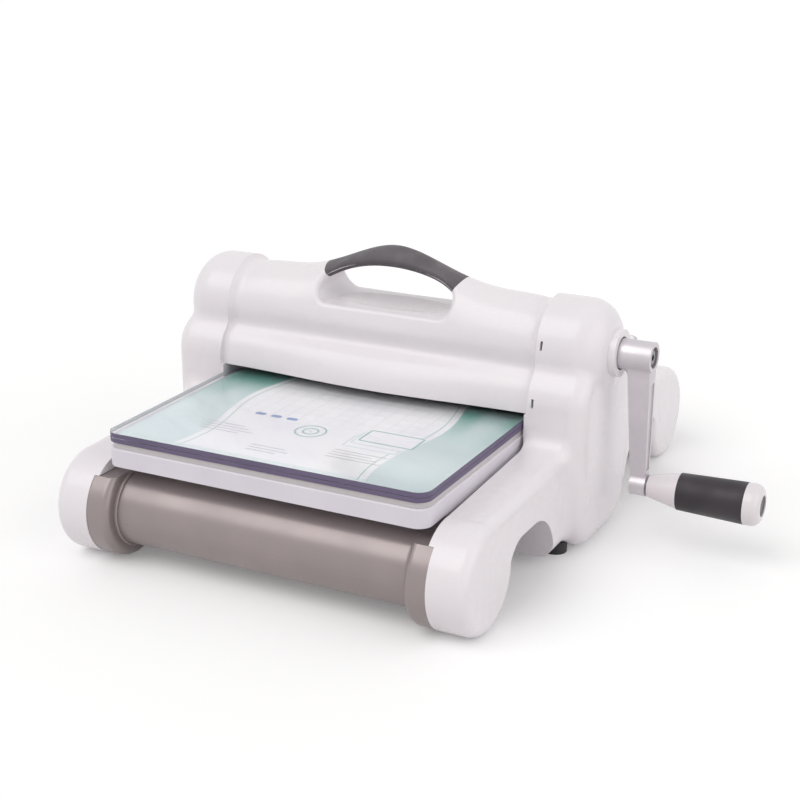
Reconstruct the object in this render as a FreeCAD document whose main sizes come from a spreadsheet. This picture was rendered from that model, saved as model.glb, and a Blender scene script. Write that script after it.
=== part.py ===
"""Hand-cranked die cutting machine: two steel rollers, a sliding platform and a moulded case.

X runs along the rollers, with the crank at +X. Y runs to the back and Z up. Everything is drawn
about the middle plane of the rollers, on a floor at Z = 0, and the finished pieces are moved along
X so that the origin lies below the middle of the whole length. Sizes are millimetres.
"""
import FreeCAD, Part
import math
import os
import re

import Sketcher
from FreeCAD import Placement, Rotation, Vector

doc = FreeCAD.newDocument("die_cutting_machine")
sheet = doc.addObject("Spreadsheet::Sheet", "dims")

# Driving dimensions
SIZES = {
    # platform board, printed sheet and cutting pads
    "board_width": 226.0,
    "board_length": 375.0,
    "board_front": 182.6,
    "board_bottom": 67.2,
    "board_thick": 15.7,
    "board_corner": 9.0,
    "board_edge": 1.0,
    "ledge_height": 3.7,
    "ledge_inset": 1.2,
    "ledge_edge": 0.6,
    "label_thick": 0.3,
    "label_margin": 3.0,
    "pad_length": 311.0,
    "pad_thick": 3.1,
    "pad_gap": 0.1,
    "pad_edge": 0.4,
    # rollers and their bushes
    "roller_radius": 16.0,
    "nip_clearance": 0.3,
    "barrel_half": 113.0,
    "barrel_chamfer": 1.0,
    "journal_radius": 8.0,
    "bush_wall": 3.0,
    "flange_wall": 3.0,
    "flange_thick": 3.0,
    "running_fit": 0.05,
    "seat_fit": 0.02,
    "clip_thick": 1.2,
    "clip_wall": 3.0,
    "clip_gap": 0.2,
    "shaft_tail": 1.0,
    # gears
    "crank_rise": 24.0,
    "pinion_teeth": 12,
    "drive_teeth": 22,
    "sync_teeth": 22,
    "pressure_angle": 25.0,
    "tooth_backlash": 0.3,
    "root_clearance": 0.25,
    "drive_gap": 2.5,
    "drive_width": 10.0,
    "sync_gap": 7.5,
    "sync_width": 6.5,
    "gear_room": 1.2,
    # end housings
    "case_wall": 3.0,
    "path_gap": 1.5,
    "path_wall": 2.0,
    "cut_past": 1.0,
    "housing_depth": 38.5,
    "lobe_proud": 3.5,
    "housing_round": 20.0,
    "case_round": 11.0,
    "lobe_radius": 33.5,
    "lower_half": 45.0,
    "shoulder_drop": 5.9,
    "lower_shoulder": 24.0,
    "lower_toe": 26.0,
    "housing_floor": 1.5,
    "boss_radius": 15.5,
    "boss_proud": 4.5,
    "boss_gap": 2.0,
    "latch_gap": 2.6,
    "latch_width": 1.6,
    "latch_height": 6.0,
    "latch_depth": 4.6,
    "latch_upper_rise": 4.6,
    "latch_lower_drop": 6.5,
    # arms and their round ends
    "arm_axis": 163.2,
    "arm_end_radius": 34.5,
    "arm_end_floor": 1.2,
    "arm_round": 7.5,
    "arm_dip": 0.3,
    "arm_rise": 5.0,
    "arm_floor": 8.0,
    "arch_crown": 45.5,
    "arch_round": 33.0,
    "arm_foot_front": 66.0,
    "arm_foot_round": 12.0,
    "waist_blend": 12.0,
    "arm_blend": 12.0,
    "rod_boss_wall": 4.0,
    "arm_width": 29.5,
    "end_set": 3.5,
    "seat_room": 2.0,
    "seat_gap": 0.3,
    # silver tube covers and the rods inside them
    "tube_radius": 25.2,
    "tube_wall": 2.7,
    "collar_radius": 34.0,
    "collar_width": 15.5,
    "collar_edge": 5.0,
    "collar_gap": 7.3,
    "neck_step": 1.6,
    "neck_length": 2.5,
    "neck_edge": 0.8,
    "rod_radius": 8.0,
    "rod_end_gap": 3.0,
    # steel side plates and tie bars
    "plate_thick": 5.0,
    "plate_set": 9.0,
    "plate_gap": 4.0,
    "bar_radius": 4.0,
    "bar_thread": 3.0,
    "bar_room": 0.5,
    "upper_bar_half": 19.0,
    "lower_bar_half": 25.0,
    "lower_bar_height": 26.0,
    "nut_flats": 10.0,
    "nut_thick": 5.0,
    "thread_tail": 1.0,
    # bridge cover and carrying handle
    "bridge_inset": 4.0,
    "flare_length": 8.0,
    "lip_gap": 4.6,
    "lip_step": 3.1,
    "lip_bow": 6.0,
    "lip_bulge": 3.5,
    "waist_drop": 9.0,
    "waist_in": 1.5,
    "waist_soft": 1.0,
    "handle_rise": 23.5,
    "slope_rise": 12.5,
    "crest_half": 58.0,
    "handle_inset": 4.5,
    "slot_half": 49.5,
    "slot_rise": 13.0,
    "slot_arch": 12.0,
    "slot_rim": 3.5,
    "dish_half": 17.0,
    "dish_end": 44.0,
    "dish_depth": 3.5,
    "sill_wall": 3.5,
    "slot_lean": 0.6,
    "slot_swell": 0.9,
    "handle_bar": 13.0,
    "grip_half": 41.0,
    "grip_lean": 0.65,
    "grip_wall": 2.5,
    "bridge_screw_inset": 19.5,
    "bridge_screw_rise": 17.1,
    "head_boss": 5.0,
    "head_share": 0.7,
    # base cover round the lower roller
    "base_slot_gap": 2.0,
    "base_gap": 3.2,
    "base_end_gap": 0.5,
    "base_plate_thick": 2.0,
    "base_screw_inset": 21.0,
    "base_screw_edge": 11.0,
    # crank
    "shaft_radius": 6.0,
    "hub_radius": 10.0,
    "hub_gap": 0.5,
    "hub_room": 1.0,
    "hub_sunk": 5.0,
    "hub_length": 26.5,
    "crank_length": 87.5,
    "face_step": 0.5,
    "crank_clear": 5.4,
    "crank_lean": 5.6,
    "crank_root_half": 6.5,
    "crank_tip_half": 4.0,
    "crank_blend": 5.0,
    "channel_rim": 1.5,
    "channel_depth": 0.8,
    "channel_end": 3.0,
    "eye_radius": 7.5,
    "recess_radius": 7.0,
    "recess_depth": 5.0,
    "washer_thick": 1.0,
    "crank_thread": 2.7,
    "crank_tap": 12.0,
    "crank_screw_length": 11.0,
    "screw_head_radius": 4.5,
    "screw_head": 3.0,
    # hand knob
    "spindle_radius": 4.0,
    "spindle_head": 6.0,
    "spindle_head_thick": 2.5,
    "knob_gap": 1.5,
    "knob_nose_radius": 7.5,
    "cone_length": 20.7,
    "knob_cone_radius": 12.2,
    "sleeve_length": 44.1,
    "sleeve_front_radius": 12.3,
    "sleeve_back_radius": 13.8,
    "sleeve_wall": 3.2,
    "cap_length": 10.2,
    "knob_cap_round": 6.0,
    "plug_radius": 7.0,
    "plug_thick": 2.0,
    "plug_recess": 0.8,
    # feet and screws
    "foot_radius": 8.0,
    "foot_set": 18.5,
    "foot_inset": 10.0,
    "foot_gap": 0.3,
    "end_foot_radius": 7.0,
    "end_foot_set": 16.5,
    "screw_radius": 1.7,
    "screw_head_wide": 3.5,
    "screw_head_thick": 2.4,
    "screw_boss": 4.0,
    "case_screw_half": 24.0,
    "case_screw_length": 12.0,
}

# Places and sizes that follow from the driving dimensions
DERIVED = {
    "stack": "board_thick + label_thick + 2 * (pad_gap + pad_thick)",
    "lower_axis": "board_bottom - nip_clearance - roller_radius",
    "upper_axis": "board_bottom + stack + nip_clearance + roller_radius",
    "crank_axis": "upper_axis + crank_rise",
    "knob_axis": "crank_axis - crank_length",
    "axis_gap": "upper_axis - lower_axis",
    "path_half": "max(board_width / 2; barrel_half) + path_gap",
    "seam_half": "path_half + path_wall",
    "housing_outer": "seam_half + housing_depth",
    "crank_lobe_outer": "housing_outer + lobe_proud",
    "boss_face": "crank_lobe_outer + boss_proud",
    "boss_start": "drive_end + boss_gap",
    "arm_outer": "seam_half + arm_width",
    "end_face": "seam_half + end_set",
    "plate_inner": "seam_half + plate_set",
    "drive_module": "2 * crank_rise / (pinion_teeth + drive_teeth)",
    "sync_module": "axis_gap / sync_teeth",
    "plate_outer": "plate_inner + plate_thick",
    "drive_start": "plate_outer + drive_gap",
    "drive_end": "drive_start + drive_width",
    "sync_start": "plate_outer + sync_gap",
    "sync_end": "sync_start + sync_width",
    "label_bottom": "board_bottom + board_thick",
    "lower_pad_bottom": "label_bottom + label_thick + pad_gap",
    "upper_pad_bottom": "lower_pad_bottom + pad_thick + pad_gap",
    "ledge_bottom": "label_bottom - ledge_height",
    "lip_height": "board_bottom + stack + lip_gap",
    "lip_half": "lower_half - lip_step",
    "base_top": "board_bottom - base_gap",
    "collar_flat": "board_bottom - collar_gap",
    "arm_height": "arm_end_radius",
    "arm_shoulder": "2 * arm_end_radius + arm_rise",
    "lower_top": "crank_axis - shoulder_drop",
    "latch_upper": "crank_axis + latch_upper_rise",
    "latch_lower": "upper_axis - latch_lower_drop",
    "lobe_top": "crank_axis + lobe_radius",
    "bridge_top": "lobe_top - bridge_inset",
    "handle_foot": "seam_half - handle_inset",
    "slot_floor": "crank_axis + slot_rise",
    "slot_sill": "slot_floor - dish_depth - sill_wall",
    "bridge_screw_half": "seam_half - bridge_screw_inset",
    "bridge_screw_height": "crank_axis + bridge_screw_rise",
    "base_screw_x": "path_half - base_screw_inset",
    "base_screw_y": "lower_half - base_screw_edge",
    "case_screw_height": "(lower_axis + upper_axis) / 2",
    "foot_half": "seam_half + foot_set",
    "foot_depth": "lower_half - foot_inset",
    "end_foot_half": "seam_half + end_foot_set",
    "bush_radius": "journal_radius + bush_wall",
    "shaft_bush_radius": "hub_radius + hub_room",
    "hub_start": "boss_face - hub_sunk",
    "hub_face": "hub_start + hub_length",
    "crank_face": "hub_face - face_step",
    "crank_root_inner": "boss_face + crank_clear",
    "crank_tip_inner": "crank_root_inner + crank_lean",
    "knob_start": "hub_face + knob_gap",
    "knob_cone_end": "knob_start + cone_length",
    "sleeve_end": "knob_cone_end + sleeve_length",
    "knob_end": "sleeve_end + cap_length",
    "sleeve_bore": "knob_cone_radius - sleeve_wall",
    "plug_face": "knob_end - plug_recess",
    "length_middle": "(knob_end - housing_outer) / 2",
}

NAMES = re.compile(r"[a-z][a-z_]+")

for row, (alias, amount) in enumerate(SIZES.items(), start=1):
    sheet.set(f"A{row}", alias)
    sheet.set(f"B{row}", str(amount))
    sheet.setAlias(f"B{row}", alias)
doc.recompute()


def bound(text):
    """Spells a formula out in cells of the sheet."""
    def spell(found):
        word = found.group(0)
        if word in DERIVED:
            return "(" + bound(DERIVED[word]) + ")"
        if word in SIZES:
            return "dims." + word
        return word
    return NAMES.sub(spell, str(text))


def size(text):
    """Gives the present value of a formula."""
    return float(sheet.evalExpression(bound(text)))


def tie(item, prop, text):
    """Binds a property of an object to a formula."""
    item.setExpression(prop, bound(text))


def place(item, at, turn=None):
    """Puts an object at a bound point, with a fixed turn."""
    if turn is not None:
        item.Placement = Placement(Vector(0, 0, 0), turn)
    for letter, text in zip("xyz", at):
        tie(item, f"Placement.Base.{letter}", text)


ALONG_X = Rotation(Vector(0, 1, 0), 90)
ALONG_Z = Rotation()


def rod(name, radius, length, at, turn=ALONG_X):
    """A plain cylinder that starts at a point and runs along one axis."""
    item = doc.addObject("Part::Cylinder", name)
    tie(item, "Radius", radius)
    tie(item, "Height", length)
    place(item, at, turn)
    return item


def block(name, low, span):
    """A plain box from its low corner."""
    item = doc.addObject("Part::Box", name)
    for prop, text in zip(("Length", "Width", "Height"), span):
        tie(item, prop, text)
    place(item, low)
    return item


def fuse(name, pieces):
    """Joins solids into one."""
    item = doc.addObject("Part::MultiFuse", name)
    item.Shapes = pieces
    item.Refine = False
    return item


def group(name, pieces):
    """Keeps like solids together as one node."""
    item = doc.addObject("Part::Compound", name)
    item.Links = pieces
    return item


def cut(name, base, tools):
    """Takes tools away from a solid."""
    item = doc.addObject("Part::Cut", name)
    item.Base = base
    item.Tool = tools[0] if len(tools) == 1 else fuse(name + "_tools", tools)
    item.Refine = False
    return item


def mirrored(name, source):
    """The left-hand copy of a right-hand piece."""
    item = doc.addObject("Part::Mirroring", name)
    item.Source = source
    item.Normal = Vector(1, 0, 0)
    return item


def plane_of(body, role):
    """One of a body's own origin planes."""
    return [f for f in body.Origin.OriginFeatures if f.Role == role][0]


def outline(body, role, points, offset="0"):
    """A closed sketch through bound corners, on one of the body's planes."""
    sketch = body.newObject("Sketcher::SketchObject", body.Name + "_sketch")
    sketch.AttachmentSupport = [(plane_of(body, role), "")]
    sketch.MapMode = "FlatFace"
    tie(sketch, "AttachmentOffset.Base.z", offset)
    corners = [Vector(size(u), size(v), 0) for u, v in points]
    count = len(corners)
    for i in range(count):
        sketch.addGeometry(Part.LineSegment(corners[i], corners[(i + 1) % count]))
    for i in range(count):
        sketch.addConstraint(Sketcher.Constraint("Coincident", i, 2, (i + 1) % count, 1))
    for i, pair in enumerate(points):
        for kind, text, amount in zip(("DistanceX", "DistanceY"), pair, corners[i]):
            index = sketch.addConstraint(Sketcher.Constraint(kind, -1, 1, i, 1, amount))
            label = f"{kind}_{i}"
            sketch.renameConstraint(index, label)
            tie(sketch, f"Constraints.{label}", text)
    return sketch


def prism(name, role, points, length, offset="0"):
    """A body padded from a bound outline."""
    body = doc.addObject("PartDesign::Body", name)
    sketch = outline(body, role, points, offset)
    pad = body.newObject("PartDesign::Pad", name + "_pad")
    pad.Profile = sketch
    tie(pad, "Length", length)
    sketch.Visibility = False
    doc.recompute()
    return body


def turned(name, points, height):
    """A body turned about an axis along X, from pairs of place along X and radius."""
    body = doc.addObject("PartDesign::Body", name)
    sketch = outline(body, "XZ_Plane", points)
    spin = body.newObject("PartDesign::Revolution", name + "_spin")
    spin.Profile = sketch
    spin.ReferenceAxis = (sketch, ["H_Axis"])
    spin.Angle = 360
    tie(body, "Placement.Base.z", height)
    doc.recompute()
    return body


def rounded(body, test, radius):
    """Rounds the edges of a body's newest feature that pass a test."""
    base = body.Tip
    names = [f"Edge{i}" for i, edge in enumerate(base.Shape.Edges, start=1) if test(edge)]
    fillet = body.newObject("PartDesign::Fillet", f"{body.Name}_round_{len(body.Group)}")
    fillet.Base = (base, names)
    tie(fillet, "Radius", radius)
    body.Tip = fillet
    doc.recompute()
    return body


NEAR = 1e-4


def on_plane(axis, amount):
    """Tests whether a whole edge lies at one place along an axis."""
    def test(edge):
        box = edge.BoundBox
        low = (box.XMin, box.YMin, box.ZMin)[axis]
        high = (box.XMax, box.YMax, box.ZMax)[axis]
        return abs(low - amount) < NEAR and abs(high - amount) < NEAR
    return test


def runs_along(axis, where):
    """Tests whether a straight edge runs along an axis and its middle passes a second test."""
    def test(edge):
        box = edge.BoundBox
        spans = (box.XLength, box.YLength, box.ZLength)
        others = [s for i, s in enumerate(spans) if i != axis]
        return spans[axis] > NEAR and max(others) < NEAR and where(box.Center)
    return test


nodes = []


def node(item, name):
    """Names an object as one finished piece of the machine."""
    item.Label = name
    nodes.append(item)
    return item


def board_sheet(name, low, thick, length, edge, margin="0"):
    """A flat sheet on the platform, with rounded corners and eased edges."""
    half = f"board_width / 2 - {margin}"
    front = f"-board_front + {margin}"
    back = f"-board_front + {length} - {margin}"
    points = [(f"-({half})", front), (half, front), (half, back), (f"-({half})", back)]
    body = prism(name, "XY_Plane", points, thick, low)
    rounded(body, runs_along(2, lambda c: True), "board_corner")
    if edge:
        top = size(f"({low}) + ({thick})")
        rounded(body, on_plane(2, top), edge)
    return body


def build_platform():
    """Board, printed sheet and two clear pads, which travel together."""
    lower = board_sheet("board_lower", "board_bottom", "board_thick - ledge_height",
                        "board_length", "board_edge")
    ledge = board_sheet("board_ledge", "ledge_bottom", "ledge_height", "board_length",
                        "ledge_edge", "ledge_inset")
    node(fuse("platform_base", [lower, ledge]), "platform_base")
    label = board_sheet("platform_label", "label_bottom", "label_thick", "board_length", "",
                        "label_margin")
    node(label, "platform_label")
    for which in ("lower", "upper"):
        name = f"{which}_cutting_pad"
        node(board_sheet(name, f"{which}_pad_bottom", "pad_thick", "pad_length", "pad_edge"), name)


def ring(name, inner, outer, start, length, height):
    """A plain ring about an axis along X."""
    solid = rod(name + "_outer", outer, length, (start, "0", height))
    bore = rod(name + "_bore", inner, length, (start, "0", height))
    return cut(name, solid, [bore])


def flanged_bush(name, height):
    """A bronze bush in the right side plate, with its flange towards the roller."""
    bore = "journal_radius + running_fit"
    points = [
        ("plate_inner - flange_thick", bore),
        ("plate_inner - flange_thick", "bush_radius + flange_wall"),
        ("plate_inner", "bush_radius + flange_wall"),
        ("plate_inner", "bush_radius - seat_fit"),
        ("plate_outer", "bush_radius - seat_fit"),
        ("plate_outer", bore),
    ]
    return turned(name, points, height)


def build_rollers():
    """Two steel rollers with journals, their bushes and retaining clips."""
    left = "-(sync_end + 2 * clip_gap + clip_thick + shaft_tail)"
    ends = {
        "upper": "drive_end + 2 * clip_gap + clip_thick + shaft_tail",
        "lower": "plate_outer + 2 * clip_gap + clip_thick + shaft_tail",
    }
    clips = {"upper": "drive_end + clip_gap", "lower": "plate_outer + clip_gap"}
    for which in ("upper", "lower"):
        height = f"{which}_axis"
        right = ends[which]
        points = [
            (left, "0"),
            (left, "journal_radius"),
            ("-barrel_half", "journal_radius"),
            ("-barrel_half", "roller_radius - barrel_chamfer"),
            ("-barrel_half + barrel_chamfer", "roller_radius"),
            ("barrel_half - barrel_chamfer", "roller_radius"),
            ("barrel_half", "roller_radius - barrel_chamfer"),
            ("barrel_half", "journal_radius"),
            (right, "journal_radius"),
            (right, "0"),
        ]
        node(turned(f"{which}_roller", points, height), f"{which}_roller")
        bush = node(flanged_bush(f"{which}_right_bush", height), f"{which}_right_bush")
        node(mirrored(f"{which}_left_bush", bush), f"{which}_left_bush")
        inner = "journal_radius + seat_fit"
        outer = "journal_radius + clip_wall"
        pair = [
            ring(f"{which}_clip_a", inner, outer, clips[which], "clip_thick", height),
            ring(f"{which}_clip_b", inner, outer, "-(sync_end + clip_gap + clip_thick)",
                 "clip_thick", height),
        ]
        node(group(f"{which}_roller_clips", pair), f"{which}_roller_clips")


def involute(angle):
    """Involute function of an angle."""
    return math.tan(angle) - angle


def gear_shape(teeth, module, bore, width, phase):
    """A spur gear about X with involute flanks; a tooth points along the phase angle.

    The half tooth angle at a radius is its value on the pitch circle plus the involute of the
    pressure angle, less the involute of the angle whose cosine is base over radius.
    """
    pressure = math.radians(size("pressure_angle"))
    pitch = module * teeth / 2
    base = pitch * math.cos(pressure)
    tip = pitch + module
    root = pitch - module * (1 + size("root_clearance"))
    half = math.pi / (2 * teeth) - size("tooth_backlash") / (4 * pitch) + involute(pressure)
    start = max(base, root)

    def flank(radius):
        return half - involute(math.acos(min(1.0, base / radius)))

    def point(radius, angle):
        return Vector(0, radius * math.cos(angle), radius * math.sin(angle))

    def arc(a, b, c):
        return Part.Arc(a, b, c).toShape()

    edges = []
    step = 2 * math.pi / teeth
    middle = (start + tip) / 2
    for i in range(teeth):
        centre = phase + i * step
        foot = flank(start)
        if root < start:
            edges.append(Part.makeLine(point(root, centre - foot), point(start, centre - foot)))
        edges.append(arc(point(start, centre - foot), point(middle, centre - flank(middle)),
                         point(tip, centre - flank(tip))))
        edges.append(arc(point(tip, centre - flank(tip)), point(tip, centre),
                         point(tip, centre + flank(tip))))
        edges.append(arc(point(tip, centre + flank(tip)), point(middle, centre + flank(middle)),
                         point(start, centre + foot)))
        if root < start:
            edges.append(Part.makeLine(point(start, centre + foot), point(root, centre + foot)))
        edges.append(arc(point(root, centre + foot), point(root, centre + step / 2),
                         point(root, centre + step - foot)))
    face = Part.Face(Part.Wire(edges))
    along = Vector(1, 0, 0)
    solid = face.extrude(along * width)
    return solid.cut(Part.makeCylinder(bore, width, Vector(0, 0, 0), along))


def gear(name, teeth, module, bore, start, width, height, phase):
    """A gear node at its place along X and its axis height."""
    item = doc.addObject("Part::Feature", name)
    item.Shape = gear_shape(int(size(teeth)), size(module), size(bore), size(width), phase)
    item.Placement = Placement(Vector(size(start), 0, size(height)), Rotation())
    return node(item, name)


def build_gears():
    """Crank pinion on drive gear at the right, and two equal gears at the left."""
    up = math.pi / 2
    down = -math.pi / 2
    seat = "journal_radius + seat_fit"
    gear("drive_gear", "drive_teeth", "drive_module", seat,
         "drive_start", "drive_width", "upper_axis", up)
    half_pitch = math.pi / size("pinion_teeth")
    gear("crank_pinion", "pinion_teeth", "drive_module", "shaft_radius + seat_fit",
         "drive_start", "drive_width", "crank_axis", down + half_pitch)
    gear("upper_sync_gear", "sync_teeth", "sync_module", seat,
         "-sync_end", "sync_width", "upper_axis", down)
    half_pitch = math.pi / size("sync_teeth")
    gear("lower_sync_gear", "sync_teeth", "sync_module", seat,
         "-sync_end", "sync_width", "lower_axis", up + half_pitch)


def lower_case(name, start, end, inset):
    """The lower, wider part of a housing, as a rounded block; inset gives its inside."""
    half = f"lower_half - {inset}"
    low = f"housing_floor + {inset}"
    high = f"lower_top - {inset}"
    points = [(f"-({half})", low), (half, low), (half, high), (f"-({half})", high)]
    body = prism(name, "YZ_Plane", points, f"({end}) - ({start})", start)
    middle = size("(housing_floor + lower_top) / 2")
    rounded(body, runs_along(0, lambda c: c.z > middle), f"lower_shoulder - {inset}")
    rounded(body, runs_along(0, lambda c: c.z < middle), f"lower_toe - {inset}")
    rounded(body, on_plane(0, size(end)), f"case_round - {inset}")
    return body


def round_end(name, start, end, radius, height, soften):
    """A drum along X with its outer edge rounded."""
    points = [(start, "0"), (start, radius), (end, radius), (end, "0")]
    body = turned(name, points, height)
    rounded(body, on_plane(0, size(end)), soften)
    return body


def arm_rail(name, start, end, inset, soften):
    """The bar of an arm, from one round end to the other, with its two arches."""
    top = f"2 * arm_end_radius - arm_dip - {inset}"
    crown = f"arch_crown + {inset}"
    toe = f"arm_foot_front - {inset}"
    low = f"arm_floor + {inset}"
    right = [
        ("lower_half - housing_round", f"arm_shoulder - {inset}"),
        ("arm_axis", top),
        ("arm_axis", crown),
        (toe, crown),
        (toe, low),
    ]
    left = [(f"-({u})", v) for u, v in reversed(right)]
    body = prism(name, "YZ_Plane", right + left, f"({end}) - ({start})", start)
    height = size(crown)
    reach = size(toe)
    corner = runs_along(0, lambda c: abs(c.z - height) < NEAR and abs(abs(c.y) - reach) < NEAR)
    rounded(body, corner, f"min(arch_round + {inset}; arch_crown - arm_floor - cut_past)")
    if soften:
        outer = on_plane(0, size(end))
        bottom = on_plane(2, size(low))
        slope = size("arm_shoulder - 2 * arm_end_radius + arm_dip") + NEAR
        middle = size("(arch_crown + arm_shoulder) / 2")

        def top_edge(edge):
            box = edge.BoundBox
            return outer(edge) and box.Center.z > middle and box.ZLength < slope
        rounded(body, top_edge, soften)
        rounded(body, lambda edge: outer(edge) and bottom(edge), "arm_foot_round")
    return body


def case_drums(side):
    """The round arm ends of one housing: their outsides, their hollows, and the rod bosses."""
    outsides = []
    hollows = []
    bosses = []
    sockets = []
    deep = "arm_outer - case_wall"
    for sign, word in (("-", "front"), ("", "rear")):
        name = f"{side}_{word}"
        at = f"{sign}arm_axis"
        outsides.append(round_end(f"{name}_end", "seam_half", "arm_outer", "arm_end_radius",
                                  "arm_height", "arm_round"))
        hollows.append(round_end(f"{name}_hollow", "end_face + case_wall", deep,
                                 "arm_end_radius - case_wall", "arm_height",
                                 "arm_round - case_wall"))
        for drum in (outsides[-1], hollows[-1]):
            tie(drum, "Placement.Base.y", at)
        bosses.append(rod(f"{name}_rod_boss", "rod_radius + rod_boss_wall",
                          "arm_outer - case_wall / 2 - end_face",
                          ("end_face", at, "arm_height")))
        sockets.append(rod(f"{name}_rod_socket", "rod_radius + seat_fit",
                           "arm_outer - case_wall - end_face", ("end_face", at, "arm_height")))
    return outsides, hollows, bosses, sockets


def blend_case(name, solid):
    """Rounds the inward corners of a housing: at its waist, along the arm and at the arm ends."""
    doc.recompute()
    waist_low = size("lower_top - lower_shoulder")
    waist_high = size("lower_top")
    lobe = size("lobe_radius")
    front = size("lower_half")
    crown = size("arch_crown")
    shoulder = size("arm_shoulder")
    end = size("arm_axis - arm_end_radius") - NEAR
    seats = [
        (lambda c: waist_low < c.z < waist_high and abs(c.y) < lobe, "waist_blend"),
        (lambda c: crown < c.z < shoulder and abs(abs(c.y) - front) < NEAR, "arm_blend"),
        (lambda c: abs(c.z - crown) < NEAR and abs(c.y) > end, "arm_blend"),
    ]
    chosen = []
    for where, radius in seats:
        test = runs_along(0, where)
        amount = size(radius)
        for i, edge in enumerate(solid.Shape.Edges, start=1):
            if test(edge):
                chosen.append((i, amount, amount))
    item = doc.addObject("Part::Fillet", name)
    item.Base = solid
    item.Edges = chosen
    return item


def housing_shell(side, lobe_outer):
    """One hollow housing with its arms, drawn on the right-hand side of the machine."""
    wall = "case_wall"
    mouth = "seam_half - cut_past"
    outsides, hollows, bosses, sockets = case_drums(side)
    outsides += [
        lower_case(f"{side}_lower", "seam_half", "housing_outer", "0"),
        round_end(f"{side}_upper", "seam_half", lobe_outer, "lobe_radius", "crank_axis",
                  "housing_round"),
        arm_rail(f"{side}_rail", "seam_half", "arm_outer", "0", "arm_round"),
    ]
    hollows += [
        lower_case(f"{side}_lower_hollow", mouth, "housing_outer - case_wall", wall),
        round_end(f"{side}_upper_hollow", mouth, f"{lobe_outer} - case_wall",
                  "lobe_radius - case_wall", "crank_axis", "housing_round - case_wall"),
        arm_rail(f"{side}_rail_hollow", "end_face + case_wall", "arm_outer - case_wall",
                 wall, ""),
        rod(f"{side}_gear_room", "axis_gap / 2 + sync_module + gear_room",
            "sync_end + gear_room - seam_half", ("seam_half", "0", "upper_axis")),
    ]
    for i, sign in enumerate(("", "-")):
        at = f"{sign}arm_axis - arm_end_radius"
        hollows.append(block(f"{side}_below_end_{i}", (mouth, at, "-cut_past"),
                             ("arm_outer - seam_half + 2 * cut_past", "2 * arm_end_radius",
                              "arm_end_floor + cut_past")))
        hollows.append(block(f"{side}_collar_seat_{i}",
                             (mouth, f"{sign}arm_axis - collar_radius - seat_room", "-cut_past"),
                             ("end_face - seam_half + cut_past", "2 * (collar_radius + seat_room)",
                              "collar_flat + seat_gap + cut_past")))
        hollows.append(rod(f"{side}_foot_seat_{i}", "foot_radius + foot_gap",
                           "arm_floor + cut_past",
                           ("foot_half", f"{sign}foot_depth", "-cut_past"), ALONG_Z))
    for i, sign in enumerate(("", "-")):
        at = ("plate_outer", f"{sign}case_screw_half", "case_screw_height")
        bosses.append(rod(f"{side}_screw_boss_{i}", "screw_boss",
                          "housing_outer - case_wall / 2 - plate_outer", at))
        sockets.append(rod(f"{side}_screw_socket_{i}", "screw_radius + seat_fit",
                           "case_screw_length", at))
    blended = blend_case(f"{side}_blended", fuse(f"{side}_solid", outsides))
    hollow = cut(f"{side}_hollowed", blended, hollows)
    return cut(f"{side}_shell", fuse(f"{side}_bossed", [hollow] + bosses), sockets)


def build_housings():
    """Hollow end housings; the right one carries the crank boss and two latch slots."""
    node(mirrored("left_housing", housing_shell("left", "housing_outer")), "left_housing")
    shell = housing_shell("right", "crank_lobe_outer")
    at = ("boss_start", "0", "crank_axis")
    boss = rod("crank_boss", "boss_radius", "boss_face - boss_start", at)
    bore = rod("crank_bore", "shaft_bush_radius", "boss_face - boss_start", at)
    slots = []
    for height, half in (("latch_upper", "lobe_radius"), ("latch_lower", "lower_half")):
        slots.append(block(f"{height}_slot", ("seam_half + latch_gap", f"-{half}", height),
                           ("latch_width", "latch_depth", "latch_height")))
    right = cut("right_housing", fuse("right_cased", [shell, boss]), [bore] + slots)
    node(right, "right_housing")


def build_inner_covers():
    """Flat walls of the feed opening, which close the housings below the bridge."""
    points = [
        ("-lower_half", "housing_floor"),
        ("lower_half", "housing_floor"),
        ("lower_half", "lip_height"),
        ("-lower_half", "lip_height"),
    ]
    body = prism("inner_cover_body", "YZ_Plane", points, "seam_half - path_half", "path_half")
    middle = size("(housing_floor + lip_height) / 2")
    rounded(body, runs_along(0, lambda c: c.z < middle), "lower_toe")
    hole = rod("inner_cover_hole", "bush_radius", "seam_half - path_half",
               ("path_half", "0", "lower_axis"))
    holes = [hole]
    for i, (across, height) in enumerate(bar_places()["lower"]):
        holes.append(rod(f"inner_cover_bar_{i}", "bar_radius + bar_room", "seam_half - path_half",
                         ("path_half", across, height)))
    right = node(cut("right_inner_cover", body, holes), "right_inner_cover")
    node(mirrored("left_inner_cover", right), "left_inner_cover")


def plate_outline(name):
    """A steel plate that stands clear of the housing wall all round."""
    gap = "(case_wall + plate_gap)"
    low = prism(name + "_low", "YZ_Plane", [
        (f"-lower_half + {gap}", f"housing_floor + {gap}"),
        (f"lower_half - {gap}", f"housing_floor + {gap}"),
        (f"lower_half - {gap}", f"lower_top - {gap}"),
        (f"-lower_half + {gap}", f"lower_top - {gap}"),
    ], "plate_thick", "plate_inner")
    middle = size("(housing_floor + lower_top) / 2")
    rounded(low, runs_along(0, lambda c: c.z > middle), f"lower_shoulder - {gap}")
    rounded(low, runs_along(0, lambda c: c.z < middle), f"lower_toe - {gap}")
    high = rod(name + "_high", f"lobe_radius - {gap}", "plate_thick",
               ("plate_inner", "0", "crank_axis"))
    return fuse(name, [low, high])


def bar_places():
    """The axes of the four tie bars, as places across and heights."""
    return {
        "upper": [("-upper_bar_half", "crank_axis"), ("upper_bar_half", "crank_axis")],
        "lower": [("-lower_bar_half", "lower_bar_height"), ("lower_bar_half", "lower_bar_height")],
    }


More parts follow.
